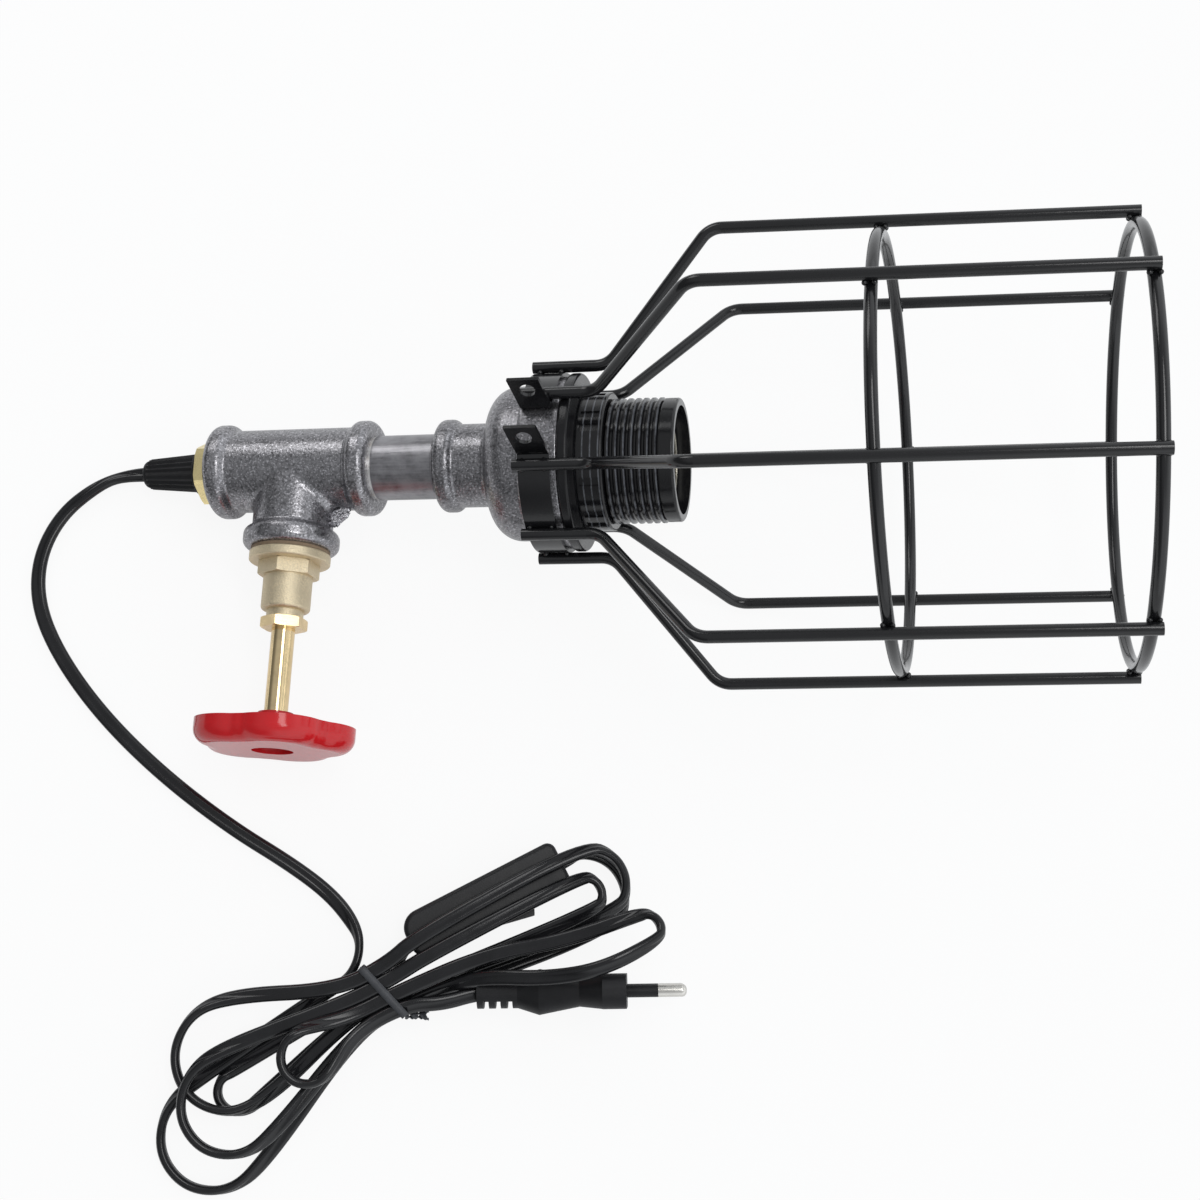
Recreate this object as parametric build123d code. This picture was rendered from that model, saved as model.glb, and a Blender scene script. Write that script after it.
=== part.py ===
from build123d import *
import math
import os

# Fits shared by every piece (millimetres, degrees)
seat = 0.05
running_fit = 0.05
overrun = 1.0

# Cast tee: run along the lamp's axis, branch square to it
tee_half_run = 28.0
tee_branch_reach = 28.0
tee_body_radius = 13.75
tee_branch_radius = 13.2
tee_bead_radius = 15.75
tee_bead_width = 5.6
tee_bead_slope = 1.9
tee_bead_rounding = 2.6
tee_bead_root = 1.2
tee_casting_fillet = 3.5
tee_core_radius = 8.5
thread_radius = 10.48
thread_depth = 13.0

# Bare pipe between the tee and the reducing socket
pipe_radius = 10.65
pipe_bore_radius = 8.0
pipe_show = 22.4
pipe_thread_show = 1.2

# Reducing socket: beaded neck opening into a bell
socket_bead_radius = 15.15
socket_bead_width = 5.2
socket_bead_slope = 1.6
socket_bead_rounding = 2.4
socket_bead_root = 1.2
socket_neck_radius = 13.6
socket_neck_length = 18.3
socket_neck_root = 2.4
bell_body_radius = 25.0
bell_radius = 27.5
bell_length = 26.3
bell_rounding = 8.9
bell_bead_width = 12.6
bell_bead_root = 1.2
bell_rim_rounding = 0.8
bell_bore_radius = 20.0
bell_bore_depth = 21.0
bell_cone_length = 6.0
socket_core_radius = 8.5

# Lampholder
holder_spigot_length = 15.0
holder_floor = 2.5
holder_cable_hole_radius = 5.0
holder_cup_radius = 16.0
holder_flange_radius = 28.6
holder_flange_width = 3.3
holder_flange_rounding = 0.8
holder_lip_radius = 24.0
holder_lip_width = 1.0
holder_bore_radius = 17.3
collar_radius = 22.2
collar_width = 8.6
collar_rounding = 0.6
collar_slot_width = 2.6
collar_slot_length = 6.0
collar_slot_depth = 0.6
collar_slot_pairs = 8
collar_slot_spread = 6.5
collar_slot_turn = 27.2
skirt_thread_crest = 20.0
skirt_thread_root = 18.9
skirt_thread_length = 17.5
skirt_thread_turns = 7
skirt_end_radius = 19.7
skirt_end_width = 4.4
skirt_mouth_rounding = 0.8
thread_crest_start_share = 0.25
thread_crest_end_share = 0.55
thread_root_share = 0.8

# Contact block and E27 screw shell
block_length = 9.0
shell_crest_radius = 12.25
shell_root_radius = 13.35
shell_wall = 0.4
shell_pitch = 3.629
shell_turns = 5
shell_base_length = 4.0
shell_slope_share = 0.25
shell_tab_width = 4.0
shell_tab_length = 3.0
shell_tab_thickness = 0.8
contact_head_radius = 4.0
contact_head_thickness = 1.2
contact_stem_radius = 1.4
contact_travel = 1.5
contact_stop_gap = 0.3
contact_stem_depth = 6.4
terminal_spacing = 6.0
terminal_offset = 5.0
terminal_head_radius = 2.0
terminal_head_height = 1.5
terminal_shank_radius = 1.2
terminal_shank_length = 5.0

# Clamp band that carries the cage on the bell
band_setback = 2.0
band_width = 10.0
band_thickness = 1.2
band_clearance = 0.1
band_ear_reach = 12.2
band_ear_slant = 2.0
band_ear_lean = -24.0
band_ear_hole_radius = 2.5
band_ear_hole_drop = 4.5
band_upper_ear_angle = -20.6
band_lower_ear_angle = 11.6

# Wire cage: eight bars welded to the band, two hoops inside them
wire_radius = 1.9
bar_count = 8
cage_roll = 18.4
bar_overlap = 11.0
bar_straight = 24.5
bar_rise = 33.5
bar_bend_radius = 8.0
cage_bulge_radius = 71.89
cage_end_radius = 69.82
cage_length = 171.9
cage_hoop_spacing = 71.45
mid_hoop_lean = -3.3
mid_hoop_skew = 1.15
bar_overhangs = [2.0, 2.3, 2.0, 2.0, 2.0, 2.0, 2.0, 1.6]

# Cord gland at the free end of the tee's run
bush_across_flats = 19.05
bush_hex_width = 5.0
bush_chamfer = 0.9
bush_thread_length = 11.0
grip_spigot_radius = 5.5
grip_spigot_length = 10.0
grip_ring_radius = 7.65
grip_ring_width = 2.0
grip_ring_rounding = 0.5
grip_length = 19.5
grip_start_radius = 6.55
grip_end_radius = 5.15
grip_end_rounding = 1.4
grip_nose = 1.8
grip_ribs = 20
grip_rib_depth = 0.5

# Cord and the wiring inside the lamp
cord_radius = 2.1
core_radius = 1.0
core_straight = 4.0
cord_tail = 2.0

# Valve on the branch: places along the branch's axis from the tee's centre
gasket_thickness = 1.0
gasket_radius = 12.9
bonnet_thread_length = 13.0
bonnet_flange_radius = 13.25
bonnet_flange_width = 3.3
bonnet_flange_rounding = 0.6
bonnet_across_flats = 17.5
bonnet_hex_width = 4.7
bonnet_hex_chamfer = 0.6
bonnet_barrel_radius = 8.0
bonnet_barrel_length = 11.5
bonnet_barrel_rounding = 1.2
bonnet_neck_radius = 6.0
bonnet_neck_length = 4.7
stuffing_radius = 5.2
stuffing_depth = 5.2
packing_height = 2.5
gland_nut_across_flats = 13.3
gland_nut_height = 3.5
gland_nut_chamfer = 0.5
gland_nut_overlap = 2.2
stem_radius = 3.8
stem_show = 27.65
spindle_thread_radius = 4.6
spindle_thread_length = 19.0
spindle_thread_start = 2.0
tang_width = 5.0
tang_length = 6.2
tang_clearance = 0.05
jumper_plate_radius = 6.5
jumper_plate_thickness = 2.0
jumper_washer_radius = 6.0
jumper_washer_thickness = 3.0
jumper_stem_radius = 2.0
jumper_stem_length = 10.6
jumper_stem_clearance = 0.06
jumper_hole_spare = 1.0
jumper_gap = 0.6

# Handwheel
wheel_core_radius = 23.0
wheel_lobe_count = 5
wheel_lobe_radius = 14.1
wheel_lobe_reach = 12.0
wheel_valley_radius = 6.0
wheel_turn = 25.4
wheel_depth = 8.2
wheel_face_thickness = 3.0
wheel_wall = 2.5
wheel_rounding = 5.0
wheel_hub_radius = 5.7
wheel_hub_drop = 4.2
wheel_recess_radius = 6.7
wheel_recess_depth = 5.4
wheel_boss_radius = 8.6
wheel_boss_floor = 1.6
wheel_washer_radius = 6.2
wheel_washer_thickness = 1.0
wheel_screw_head_radius = 4.2
wheel_screw_head_height = 2.4
wheel_screw_rounding = 1.4
wheel_screw_radius = 1.5
wheel_screw_length = 7.0

# Places on the table for what the cord carries, from the lamp's origin
waist_x = -76.4
waist_y = -157.5
waist_heading = 29.5

# Inline switch, lying on its side along the hank
switch_start = 18.0
switch_offset = 10.4
switch_length = 56.0
switch_width = 16.0
switch_height = 12.5
switch_cord_height = 6.3
switch_cord_depth = 6.0
switch_left_corner = 6.0
switch_right_corner = 3.0
switch_edge_rounding = 1.5
switch_wall = 2.0
switch_cavity_start = 11.0
switch_cavity_end = 46.0
switch_cavity_depth = 5.0
rocker_pivot = 28.4
rocker_pivot_depth = 3.4
rocker_height = 8.0
rocker_reach = 13.5
rocker_crest = 5.3
rocker_dip = 4.3
rocker_root = 3.0
rocker_root_width = 10.0
rocker_tilt = 7.0
rocker_slot_clearance = 0.3
rocker_pin_radius = 1.0
rocker_pin_inset = 0.8
switch_screw_inset = 7.5
switch_screw_height = 6.3
switch_screw_radius = 1.2
switch_screw_head_radius = 2.2
switch_screw_head_height = 1.6
switch_screw_sink = 2.4
switch_screw_length = 10.0
switch_contact_length = 6.0
switch_contact_depth = 4.0
switch_contact_height = 5.0

# Two-pin plug, standing on its narrow edge with its nose raised
plug_x = -42.6
plug_y = -154.9
plug_heading = 3.0
plug_nose_up = 8.0
plug_relief_length = 13.0
plug_relief_width = 10.0
plug_relief_height = 10.4
plug_bulge_at = 20.0
plug_bulge_width = 14.3
plug_bulge_height = 15.0
plug_waist_at = 33.0
plug_waist_width = 9.4
plug_waist_height = 19.0
plug_shoulder_at = 40.5
plug_shoulder_height = 30.0
plug_length = 48.0
plug_flange_width = 10.8
plug_flange_height = 34.0
plug_rounding = 4.4
plug_cord_depth = 5.0
plug_slot_width = 1.9
plug_slot_depth = 2.2
plug_slot_pitch = 3.8
plug_slot_count = 3
pin_radius = 2.0
pin_core_radius = 1.5
pin_spacing = 9.3
pin_length = 19.0
pin_sleeve_length = 10.0
pin_root_depth = 9.0
pin_tip_rounding = 1.6

# Hank: columns and rows of strands through the waist
strand_pitch = 4.75
strand_columns = 4
waist_half = 9.0
waist_lift = 1.3
floor_gap = 0.02
lead_end_along = -13.0
lead_end_across = 8.3
over_switch_gap = 0.55
left_reaches = [80.7, 57.0, 64.5, 68.5, 34.5]
left_halves = [16.8, 6.4, 17.0, 15.5, 6.0]
left_fans = [13.9, 7.5, -5.5, 9.5, 15.5]
right_alongs = [76.0, 78.0, 74.7, 86.0]
right_halves = [13.7, 12.5, 6.2, 4.9]
right_acrosses = [switch_offset - right_halves[0], -0.6, -2.6, -20.8]
right_fans = [0.0, 0.0, 0.0, 6.0]
first_return_rise = 2.0
second_loop_heights = [9.5, 12.5]
third_loop_height = 14.6
fourth_loop_heights = [33.0, 29.0, 25.0]
switch_crossing = 3.0
second_crossing = 10.5
third_crossing = 3.6
entry_straight = 1.0
entry_settle = 4.0
plug_strand_places = [(22.0, -7.7, 8.7), (35.0, -10.8, 18.8), (52.0, -20.3, 26.8), (68.0, -25.3, 34.8)]
plug_strand_headings = [(1.0, -0.02, 0.25), (0.8, -0.45, 0.4), (0.85, -0.4, 0.4), (1.0, -0.1, 0.12)]
back_strand_places = [(63.0, -12.6, 20.0), (38.0, -4.6, 17.6)]
back_strand_headings = [(-1.0, 0.24, -0.1), (-1.0, 0.12, -0.16)]
plug_tail_place = (19.0, -12.0, 12.8)
plug_tail_heading = (0.97, -0.24, 0.0)
gap_step = 1.5
gap_skip_diameters = 3.2
straightness = 1e-6

# Twist tie round the waist
tie_along = 4.5
tie_width = 4.0
tie_thickness = 0.7
tie_half_across = 9.55
tie_bottom = 0.95
tie_top = 15.45
tie_corner = 3.0
tie_tail_length = 12.0
tie_tail_thickness = 1.6

# Free cord from the gland to the hank, on the table after the gland
lead_height = cord_radius + floor_gap
lead_exit_run = 8.0
lead_route = [
    (-180.6, 8.5, 2.7),
    (-191.6, -2.2, lead_height),
    (-197.3, -17.3, lead_height),
    (-196.1, -33.8, lead_height),
    (-187.3, -50.8, lead_height),
    (-171.6, -69.8, lead_height),
    (-150.6, -88.3, lead_height),
    (-126.6, -104.8, lead_height),
    (-105.1, -116.5, lead_height),
    (-91.1, -126.1, lead_height),
    (-83.0, -136.0, lead_height),
]
lead_turn_places = [(3.2, 15.8), (-0.9, 11.0), (-6.7, 8.3)]
bend_share = 0.45

# Places along the lamp's axis, worked out from the sizes above
socket_start = tee_half_run + pipe_show
socket_shoulder = socket_start + socket_neck_length
bell_rim = socket_shoulder + bell_length
bell_floor = bell_rim - bell_bore_depth
nipple_start = tee_half_run - thread_depth
nipple_end = socket_start + thread_depth
holder_start = bell_rim - holder_spigot_length
holder_flange_end = bell_rim + holder_flange_width
holder_lip_end = holder_flange_end + holder_lip_width
collar_end = holder_lip_end + collar_width
skirt_thread_end = collar_end + skirt_thread_length
holder_mouth = skirt_thread_end + skirt_end_width
block_face = bell_rim + block_length
band_end = bell_rim - band_setback
band_start = band_end - band_width
band_inner = bell_radius + band_clearance
band_outer = band_inner + band_thickness
band_bar_radius = band_outer + wire_radius + seat
bar_start = band_end - bar_overlap
bar_bend = bar_start + bar_straight
cage_bulge = bar_bend + bar_rise
cage_end = bell_rim + cage_length
cage_middle = cage_end - cage_hoop_spacing
cage_slope = (cage_end_radius - cage_bulge_radius) / (cage_end - cage_bulge)
bush_start = -tee_half_run - bush_hex_width
grip_ring_start = bush_start - grip_ring_width
cord_exit = grip_ring_start - grip_length
cable_end = holder_start - cord_tail

# Places along the branch
bonnet_start = tee_branch_reach + gasket_thickness - bonnet_thread_length
bonnet_flange_end = tee_branch_reach + gasket_thickness + bonnet_flange_width
bonnet_hex_end = bonnet_flange_end + bonnet_hex_width
bonnet_barrel_end = bonnet_hex_end + bonnet_barrel_length
bonnet_end = bonnet_barrel_end + bonnet_neck_length
stuffing_start = bonnet_end - stuffing_depth
gland_nut_start = bonnet_end - gland_nut_overlap
gland_nut_end = gland_nut_start + gland_nut_height
packing_end = stuffing_start + packing_height
stem_end = gland_nut_end + stem_show
spindle_start = bonnet_start + spindle_thread_start
spindle_thread_end = spindle_start + spindle_thread_length
bonnet_chamber_end = bonnet_hex_end + bonnet_barrel_length - stuffing_depth
jumper_top = bonnet_start - jumper_gap
jumper_plate_start = jumper_top - jumper_plate_thickness
jumper_washer_start = jumper_plate_start - jumper_washer_thickness
wheel_rim = stem_end + wheel_hub_drop
wheel_face = wheel_rim + wheel_depth
wheel_floor = wheel_face - wheel_face_thickness
wheel_recess_floor = wheel_face - wheel_recess_depth

# The lamp lies on its tee's free bead, the bend of its lowest bar and its handwheel's rim
bend_half_turn = (math.atan((cage_bulge_radius - band_bar_radius) / bar_rise) - math.atan(cage_slope)) / 2
bend_along = cage_bulge + bar_bend_radius * math.tan(bend_half_turn)
bend_drop = (cage_bulge_radius - bar_bend_radius) * math.cos(math.radians(cage_roll))
bend_reach = bar_bend_radius * math.cos(math.radians(cage_roll)) + wire_radius
bead_along = tee_bead_rounding - tee_half_run
bead_drop = tee_bead_radius - tee_bead_rounding
contact_span = math.hypot(bend_along - bead_along, bend_drop - bead_drop)
lamp_tilt = math.atan2(bend_drop - bead_drop, bend_along - bead_along)
lamp_tilt += math.asin((bend_reach - tee_bead_rounding) / contact_span)
tee_height = bead_drop * math.cos(lamp_tilt) - bead_along * math.sin(lamp_tilt) + tee_bead_rounding
wheel_drop = wheel_lobe_reach * math.cos(math.radians(wheel_turn)) + wheel_lobe_radius
wheel_span = math.hypot(wheel_rim, wheel_drop)
branch_rise = math.asin(wheel_drop / wheel_span) - math.asin(tee_height / wheel_span)
branch_rise /= math.cos(lamp_tilt)

branch = Plane(
    origin=(0, 0, 0),
    x_dir=(0, -math.cos(branch_rise), math.sin(branch_rise)),
    z_dir=(1, 0, 0),
)
waist = Plane(
    origin=(waist_x, waist_y, 0),
    x_dir=(math.cos(math.radians(waist_heading)), math.sin(math.radians(waist_heading)), 0),
    z_dir=(0, 0, 1),
)


def turned(*corners):
    """Revolve corners of (along, radius) or (along, radius, rounding) about the X axis."""
    outline = make_face(Polyline(*[corner[:2] for corner in corners], close=True))
    for corner in corners:
        if len(corner) > 2:
            nearest = outline.vertices().sort_by_distance(Vector(corner[0], corner[1]))[0]
            outline = fillet(nearest, corner[2])
    return revolve(outline, Axis.X)


def rod(start, end, radius):
    return turned((start, 0), (start, radius), (end, radius), (end, 0))


def tube(start, end, outer, inner):
    return turned((start, inner), (start, outer), (end, outer), (end, inner))


def hex_bar(start, end, across_flats, chamfer):
    """A hexagonal bar along X with its corners chamfered at both ends."""
    corner = across_flats / math.sqrt(3)
    outline = Plane.YZ.offset(start) * RegularPolygon(across_flats / 2, 6, major_radius=False)
    crown = turned(
        (start, 0),
        (start, corner - chamfer),
        (start + chamfer / 2, corner),
        (end - chamfer / 2, corner),
        (end, corner - chamfer),
        (end, 0),
    )
    return extrude(outline, end - start) & crown


def square_bar(start, end, width):
    return extrude(Plane.YZ.offset(start) * Rectangle(width, width), end - start)


def block(x_range, y_range, z_range):
    """A box between two places along each axis."""
    ranges = (x_range, y_range, z_range)
    middle = Pos(*[(low + high) / 2 for low, high in ranges])
    return middle * Box(*[high - low for low, high in ranges])


# Pipe fittings
def tee():
    slope_end = tee_half_run - tee_bead_width
    slope_start = slope_end - tee_bead_slope
    run = turned(
        (-tee_half_run, 0),
        (-tee_half_run, tee_bead_radius, tee_bead_rounding),
        (-slope_end, tee_bead_radius, tee_bead_rounding),
        (-slope_start, tee_body_radius, tee_bead_root),
        (slope_start, tee_body_radius, tee_bead_root),
        (slope_end, tee_bead_radius, tee_bead_rounding),
        (tee_half_run, tee_bead_radius, tee_bead_rounding),
        (tee_half_run, 0),
    )
    outlet_slope = tee_branch_reach - tee_bead_width
    outlet = branch * turned(
        (0, 0),
        (0, tee_branch_radius),
        (outlet_slope - tee_bead_slope, tee_branch_radius, tee_bead_root),
        (outlet_slope, tee_bead_radius, tee_bead_rounding),
        (tee_branch_reach, tee_bead_radius, tee_bead_rounding),
        (tee_branch_reach, 0),
    )
    body = run + outlet
    body = fillet(new_edges(run, outlet, combined=body), tee_casting_fillet)
    thread_bore = thread_radius + seat
    thread_start = tee_half_run - thread_depth
    body -= rod(-tee_half_run - overrun, tee_half_run + overrun, tee_core_radius)
    body -= rod(thread_start, tee_half_run + overrun, thread_bore)
    body -= rod(-tee_half_run - overrun, -thread_start, thread_bore)
    body -= branch * rod(0, tee_branch_reach + overrun, tee_core_radius)
    body -= branch * rod(tee_branch_reach - thread_depth, tee_branch_reach + overrun, thread_bore)
    return body


def pipe_nipple():
    left_thread = tee_half_run + pipe_thread_show
    right_thread = socket_start - pipe_thread_show
    return turned(
        (nipple_start, pipe_bore_radius),
        (nipple_start, thread_radius),
        (left_thread, thread_radius),
        (left_thread, pipe_radius),
        (right_thread, pipe_radius),
        (right_thread, thread_radius),
        (nipple_end, thread_radius),
        (nipple_end, pipe_bore_radius),
    )


def reducing_socket():
    bead_end = socket_start + socket_bead_width
    thread_bore = thread_radius + seat
    return turned(
        (socket_start, thread_bore),
        (socket_start, socket_bead_radius, socket_bead_rounding),
        (bead_end, socket_bead_radius, socket_bead_rounding),
        (bead_end + socket_bead_slope, socket_neck_radius, socket_bead_root),
        (socket_shoulder, socket_neck_radius, socket_neck_root),
        (socket_shoulder, bell_body_radius, bell_rounding),
        (bell_rim - bell_bead_width, bell_body_radius, bell_bead_root),
        (bell_rim - bell_bead_width, bell_radius, bell_rim_rounding),
        (bell_rim, bell_radius, bell_rim_rounding),
        (bell_rim, bell_bore_radius),
        (bell_floor, bell_bore_radius),
        (bell_floor - bell_cone_length, socket_core_radius),
        (nipple_end, socket_core_radius),
        (nipple_end, thread_bore),
    )


# Cord gland
def gland_bush():
    hexagon = hex_bar(bush_start, -tee_half_run, bush_across_flats, bush_chamfer)
    thread = rod(-tee_half_run, bush_thread_length - tee_half_run, thread_radius)
    bore = rod(bush_start - overrun, bush_thread_length - tee_half_run + overrun, grip_spigot_radius + seat)
    return hexagon + thread - bore


def cord_grip_body():
    ring = turned(
        (grip_ring_start, 0),
        (grip_ring_start, grip_ring_radius, grip_ring_rounding),
        (bush_start, grip_ring_radius, grip_ring_rounding),
        (bush_start, 0),
    )
    spigot = rod(bush_start, bush_start + grip_spigot_length, grip_spigot_radius)
    bore = rod(grip_ring_start - overrun, bush_start + grip_spigot_length + overrun, cord_radius + seat)
    return ring + spigot - bore


def ribbed_section(along, radius):
    """A star-shaped section across X with one point for each rib."""
    points = []
    for step in range(2 * grip_ribs):
        reach = radius - grip_rib_depth * (step % 2)
        angle = math.pi * step / grip_ribs
        points.append((reach * math.cos(angle), reach * math.sin(angle)))
    return Plane.YZ.offset(along) * make_face(Polyline(*points, close=True))


def cord_grip_cap():
    nose_end = cord_exit + grip_nose
    nose_radius = grip_end_radius - grip_rib_depth
    ribs = loft(
        [ribbed_section(nose_end, grip_end_radius), ribbed_section(grip_ring_start, grip_start_radius)],
        ruled=True,
    )
    nose = turned(
        (cord_exit, 0),
        (cord_exit, nose_radius, grip_end_rounding),
        (nose_end, nose_radius),
        (nose_end, 0),
    )
    return ribs + nose - rod(cord_exit - overrun, grip_ring_start + overrun, cord_radius + seat)


# Wiring inside the lamp
def inner_cable():
    return rod(cord_exit, cable_end, cord_radius)


def core_wire(side):
    start = Vector(cable_end, side * (core_radius + seat), 0)
    end = Vector(bell_rim, side * terminal_spacing, 0)
    step = Vector(core_straight, 0, 0)
    path = FilletPolyline(start, start + step, end - step, end, radius=core_straight)
    return sweep(Plane(origin=start, z_dir=(1, 0, 0)) * Circle(core_radius), path)


# Valve on the branch
def bonnet_gasket():
    return branch * tube(
        tee_branch_reach, tee_branch_reach + gasket_thickness, gasket_radius, thread_radius + seat
    )


def valve_bonnet():
    flange_start = tee_branch_reach + gasket_thickness
    body = rod(bonnet_start, flange_start, thread_radius)
    body += turned(
        (flange_start, 0),
        (flange_start, bonnet_flange_radius, bonnet_flange_rounding),
        (bonnet_flange_end, bonnet_flange_radius, bonnet_flange_rounding),
        (bonnet_flange_end, 0),
    )
    body += hex_bar(bonnet_flange_end, bonnet_hex_end, bonnet_across_flats, bonnet_hex_chamfer)
    body += turned(
        (bonnet_hex_end, 0),
        (bonnet_hex_end, bonnet_barrel_radius),
        (bonnet_barrel_end, bonnet_barrel_radius, bonnet_barrel_rounding),
        (bonnet_barrel_end, bonnet_neck_radius),
        (bonnet_end, bonnet_neck_radius),
        (bonnet_end, 0),
    )
    body -= rod(bonnet_start - overrun, bonnet_chamber_end, spindle_thread_radius + running_fit)
    body -= rod(bonnet_start, bonnet_end + overrun, stem_radius + running_fit)
    body -= rod(stuffing_start, bonnet_end + overrun, stuffing_radius)
    return branch * body


def packing_ring():
    return branch * tube(stuffing_start, packing_end, stuffing_radius - seat, stem_radius + running_fit)


def gland_nut():
    nut = hex_bar(gland_nut_start, gland_nut_end, gland_nut_across_flats, gland_nut_chamfer)
    nut += rod(packing_end, gland_nut_end, stuffing_radius - seat)
    nut -= tube(gland_nut_start - overrun, bonnet_end, bonnet_neck_radius + seat, stuffing_radius - seat)
    nut -= rod(stuffing_start, gland_nut_end + overrun, stem_radius + running_fit)
    return branch * nut


def valve_spindle():
    hole_end = jumper_top + jumper_stem_length + jumper_hole_spare
    tang_end = stem_end + tang_length
    body = rod(spindle_start, spindle_thread_end, spindle_thread_radius)
    body += rod(spindle_thread_end, stem_end, stem_radius)
    body += square_bar(stem_end, tang_end, tang_width)
    body -= rod(spindle_start - overrun, hole_end, jumper_stem_radius + jumper_stem_clearance)
    body -= rod(wheel_recess_floor - wheel_screw_length, tang_end + overrun, wheel_screw_radius + seat)
    return branch * body


def jumper_plate():
    plate = rod(jumper_plate_start, jumper_top, jumper_plate_radius)
    return branch * (plate + rod(jumper_top, jumper_top + jumper_stem_length, jumper_stem_radius))


def jumper_washer():
    return branch * rod(jumper_washer_start, jumper_plate_start, jumper_washer_radius)


def wheel_outline(inset):
    """The wheel's lobed outline, drawn in by an inset."""
    first_lobe = wheel_turn - math.degrees(lamp_tilt)
    places = PolarLocations(wheel_lobe_reach, wheel_lobe_count, start_angle=first_lobe)
    outline = Circle(wheel_core_radius - inset) + places * Circle(wheel_lobe_radius - inset)
    return fillet(outline.vertices(), wheel_valley_radius + inset)


def handwheel():
    rim_plane = Plane.YZ.offset(wheel_rim)
    wheel = extrude(rim_plane * wheel_outline(0), wheel_depth)
    wheel = fillet(wheel.faces().sort_by(Axis.X)[-1].edges(), wheel_rounding)
    wheel -= extrude(rim_plane * wheel_outline(wheel_wall), wheel_floor - wheel_rim)
    wheel += rod(stem_end, wheel_floor, wheel_hub_radius)
    wheel += rod(wheel_recess_floor - wheel_boss_floor, wheel_floor, wheel_boss_radius)
    wheel -= rod(wheel_recess_floor, wheel_face + overrun, wheel_recess_radius)
    wheel -= square_bar(stem_end - overrun, wheel_face, tang_width + 2 * tang_clearance)
    return branch * wheel


def wheel_washer():
    washer_end = wheel_recess_floor + wheel_washer_thickness
    return branch * tube(wheel_recess_floor, washer_end, wheel_washer_radius, wheel_screw_radius + seat)


def wheel_screw():
    head_start = wheel_recess_floor + wheel_washer_thickness
    head_end = head_start + wheel_screw_head_height
    head = turned(
        (head_start, 0),
        (head_start, wheel_screw_head_radius),
        (head_end, wheel_screw_head_radius, wheel_screw_rounding),
        (head_end, 0),
    )
    return branch * (head + rod(wheel_recess_floor - wheel_screw_length, head_start, wheel_screw_radius))


# Lampholder
def holder_base():
    return turned(
        (holder_start, holder_cable_hole_radius),
        (holder_start, bell_bore_radius - seat),
        (bell_rim, bell_bore_radius - seat),
        (bell_rim, holder_cup_radius),
        (holder_start + holder_floor, holder_cup_radius),
        (holder_start + holder_floor, holder_cable_hole_radius),
    )


def holder_ring():
    return turned(
        (bell_rim, holder_bore_radius),
        (bell_rim, holder_flange_radius, holder_flange_rounding),
        (holder_flange_end, holder_flange_radius, holder_flange_rounding),
        (holder_flange_end, holder_lip_radius),
        (holder_lip_end, holder_lip_radius),
        (holder_lip_end, holder_bore_radius),
    )


def skirt_thread():
    """Corners of the skirt's thread, one ridge for each turn."""
    pitch = skirt_thread_length / skirt_thread_turns
    corners = []
    for turn in range(skirt_thread_turns):
        start = collar_end + turn * pitch
        corners.append((start, skirt_thread_root))
        corners.append((start + thread_crest_start_share * pitch, skirt_thread_crest))
        corners.append((start + thread_crest_end_share * pitch, skirt_thread_crest))
        corners.append((start + thread_root_share * pitch, skirt_thread_root))
    return corners


def holder_skirt():
    skirt = turned(
        (holder_lip_end, holder_bore_radius),
        (holder_lip_end, collar_radius, collar_rounding),
        (collar_end, collar_radius, collar_rounding),
        *skirt_thread(),
        (skirt_thread_end, skirt_thread_root),
        (skirt_thread_end, skirt_end_radius),
        (holder_mouth, skirt_end_radius, skirt_mouth_rounding),
        (holder_mouth, holder_bore_radius),
    )
    middle = (holder_lip_end + collar_end) / 2
    slot = block(
        (middle - collar_slot_length / 2, middle + collar_slot_length / 2),
        (-collar_slot_width / 2, collar_slot_width / 2),
        (collar_radius - collar_slot_depth, collar_radius + overrun),
    )
    slots = []
    for pair in range(collar_slot_pairs):
        for side in (-1, 1):
            turn = collar_slot_turn + pair * 360 / collar_slot_pairs + side * collar_slot_spread
            slots.append(Rot(turn, 0, 0) * slot)
    return skirt - slots


def contact_block():
    body = rod(bell_rim, block_face, holder_bore_radius - seat)
    stem_hole = contact_stem_depth + contact_travel + contact_stop_gap
    body -= rod(block_face - stem_hole, block_face + overrun, contact_stem_radius + running_fit)
    screw_hole = rod(bell_rim - overrun, bell_rim + terminal_shank_length, terminal_shank_radius + seat)
    for side in (-1, 1):
        body -= Pos(0, side * terminal_spacing, terminal_offset) * screw_hole
    return body


def screw_shell():
    """The Edison screw shell, thin all over, one groove for each turn."""
    slope = shell_slope_share * shell_pitch
    first_crest = block_face + shell_base_length
    inner = [(block_face, shell_root_radius), (first_crest - slope, shell_root_radius)]
    for turn in range(shell_turns):
        start = first_crest + turn * shell_pitch
        inner.append((start, shell_crest_radius))
        inner.append((start + slope, shell_crest_radius))
        inner.append((start + 2 * slope, shell_root_radius))
        inner.append((start + 3 * slope, shell_root_radius))
    inner.append((first_crest + shell_turns * shell_pitch, shell_crest_radius))
    outer = [(along, radius + shell_wall) for along, radius in reversed(inner)]
    return turned(*inner, *outer)


def shell_contact():
    tab_end = math.sqrt(shell_root_radius**2 - shell_tab_width**2 / 4) - seat
    return block(
        (block_face, block_face + shell_tab_thickness),
        (-shell_tab_width / 2, shell_tab_width / 2),
        (tab_end - shell_tab_length, tab_end),
    )


def centre_contact():
    head_start = block_face + contact_travel + contact_stop_gap
    head = rod(head_start, head_start + contact_head_thickness, contact_head_radius)
    return head + rod(block_face - contact_stem_depth, head_start, contact_stem_radius)


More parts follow.
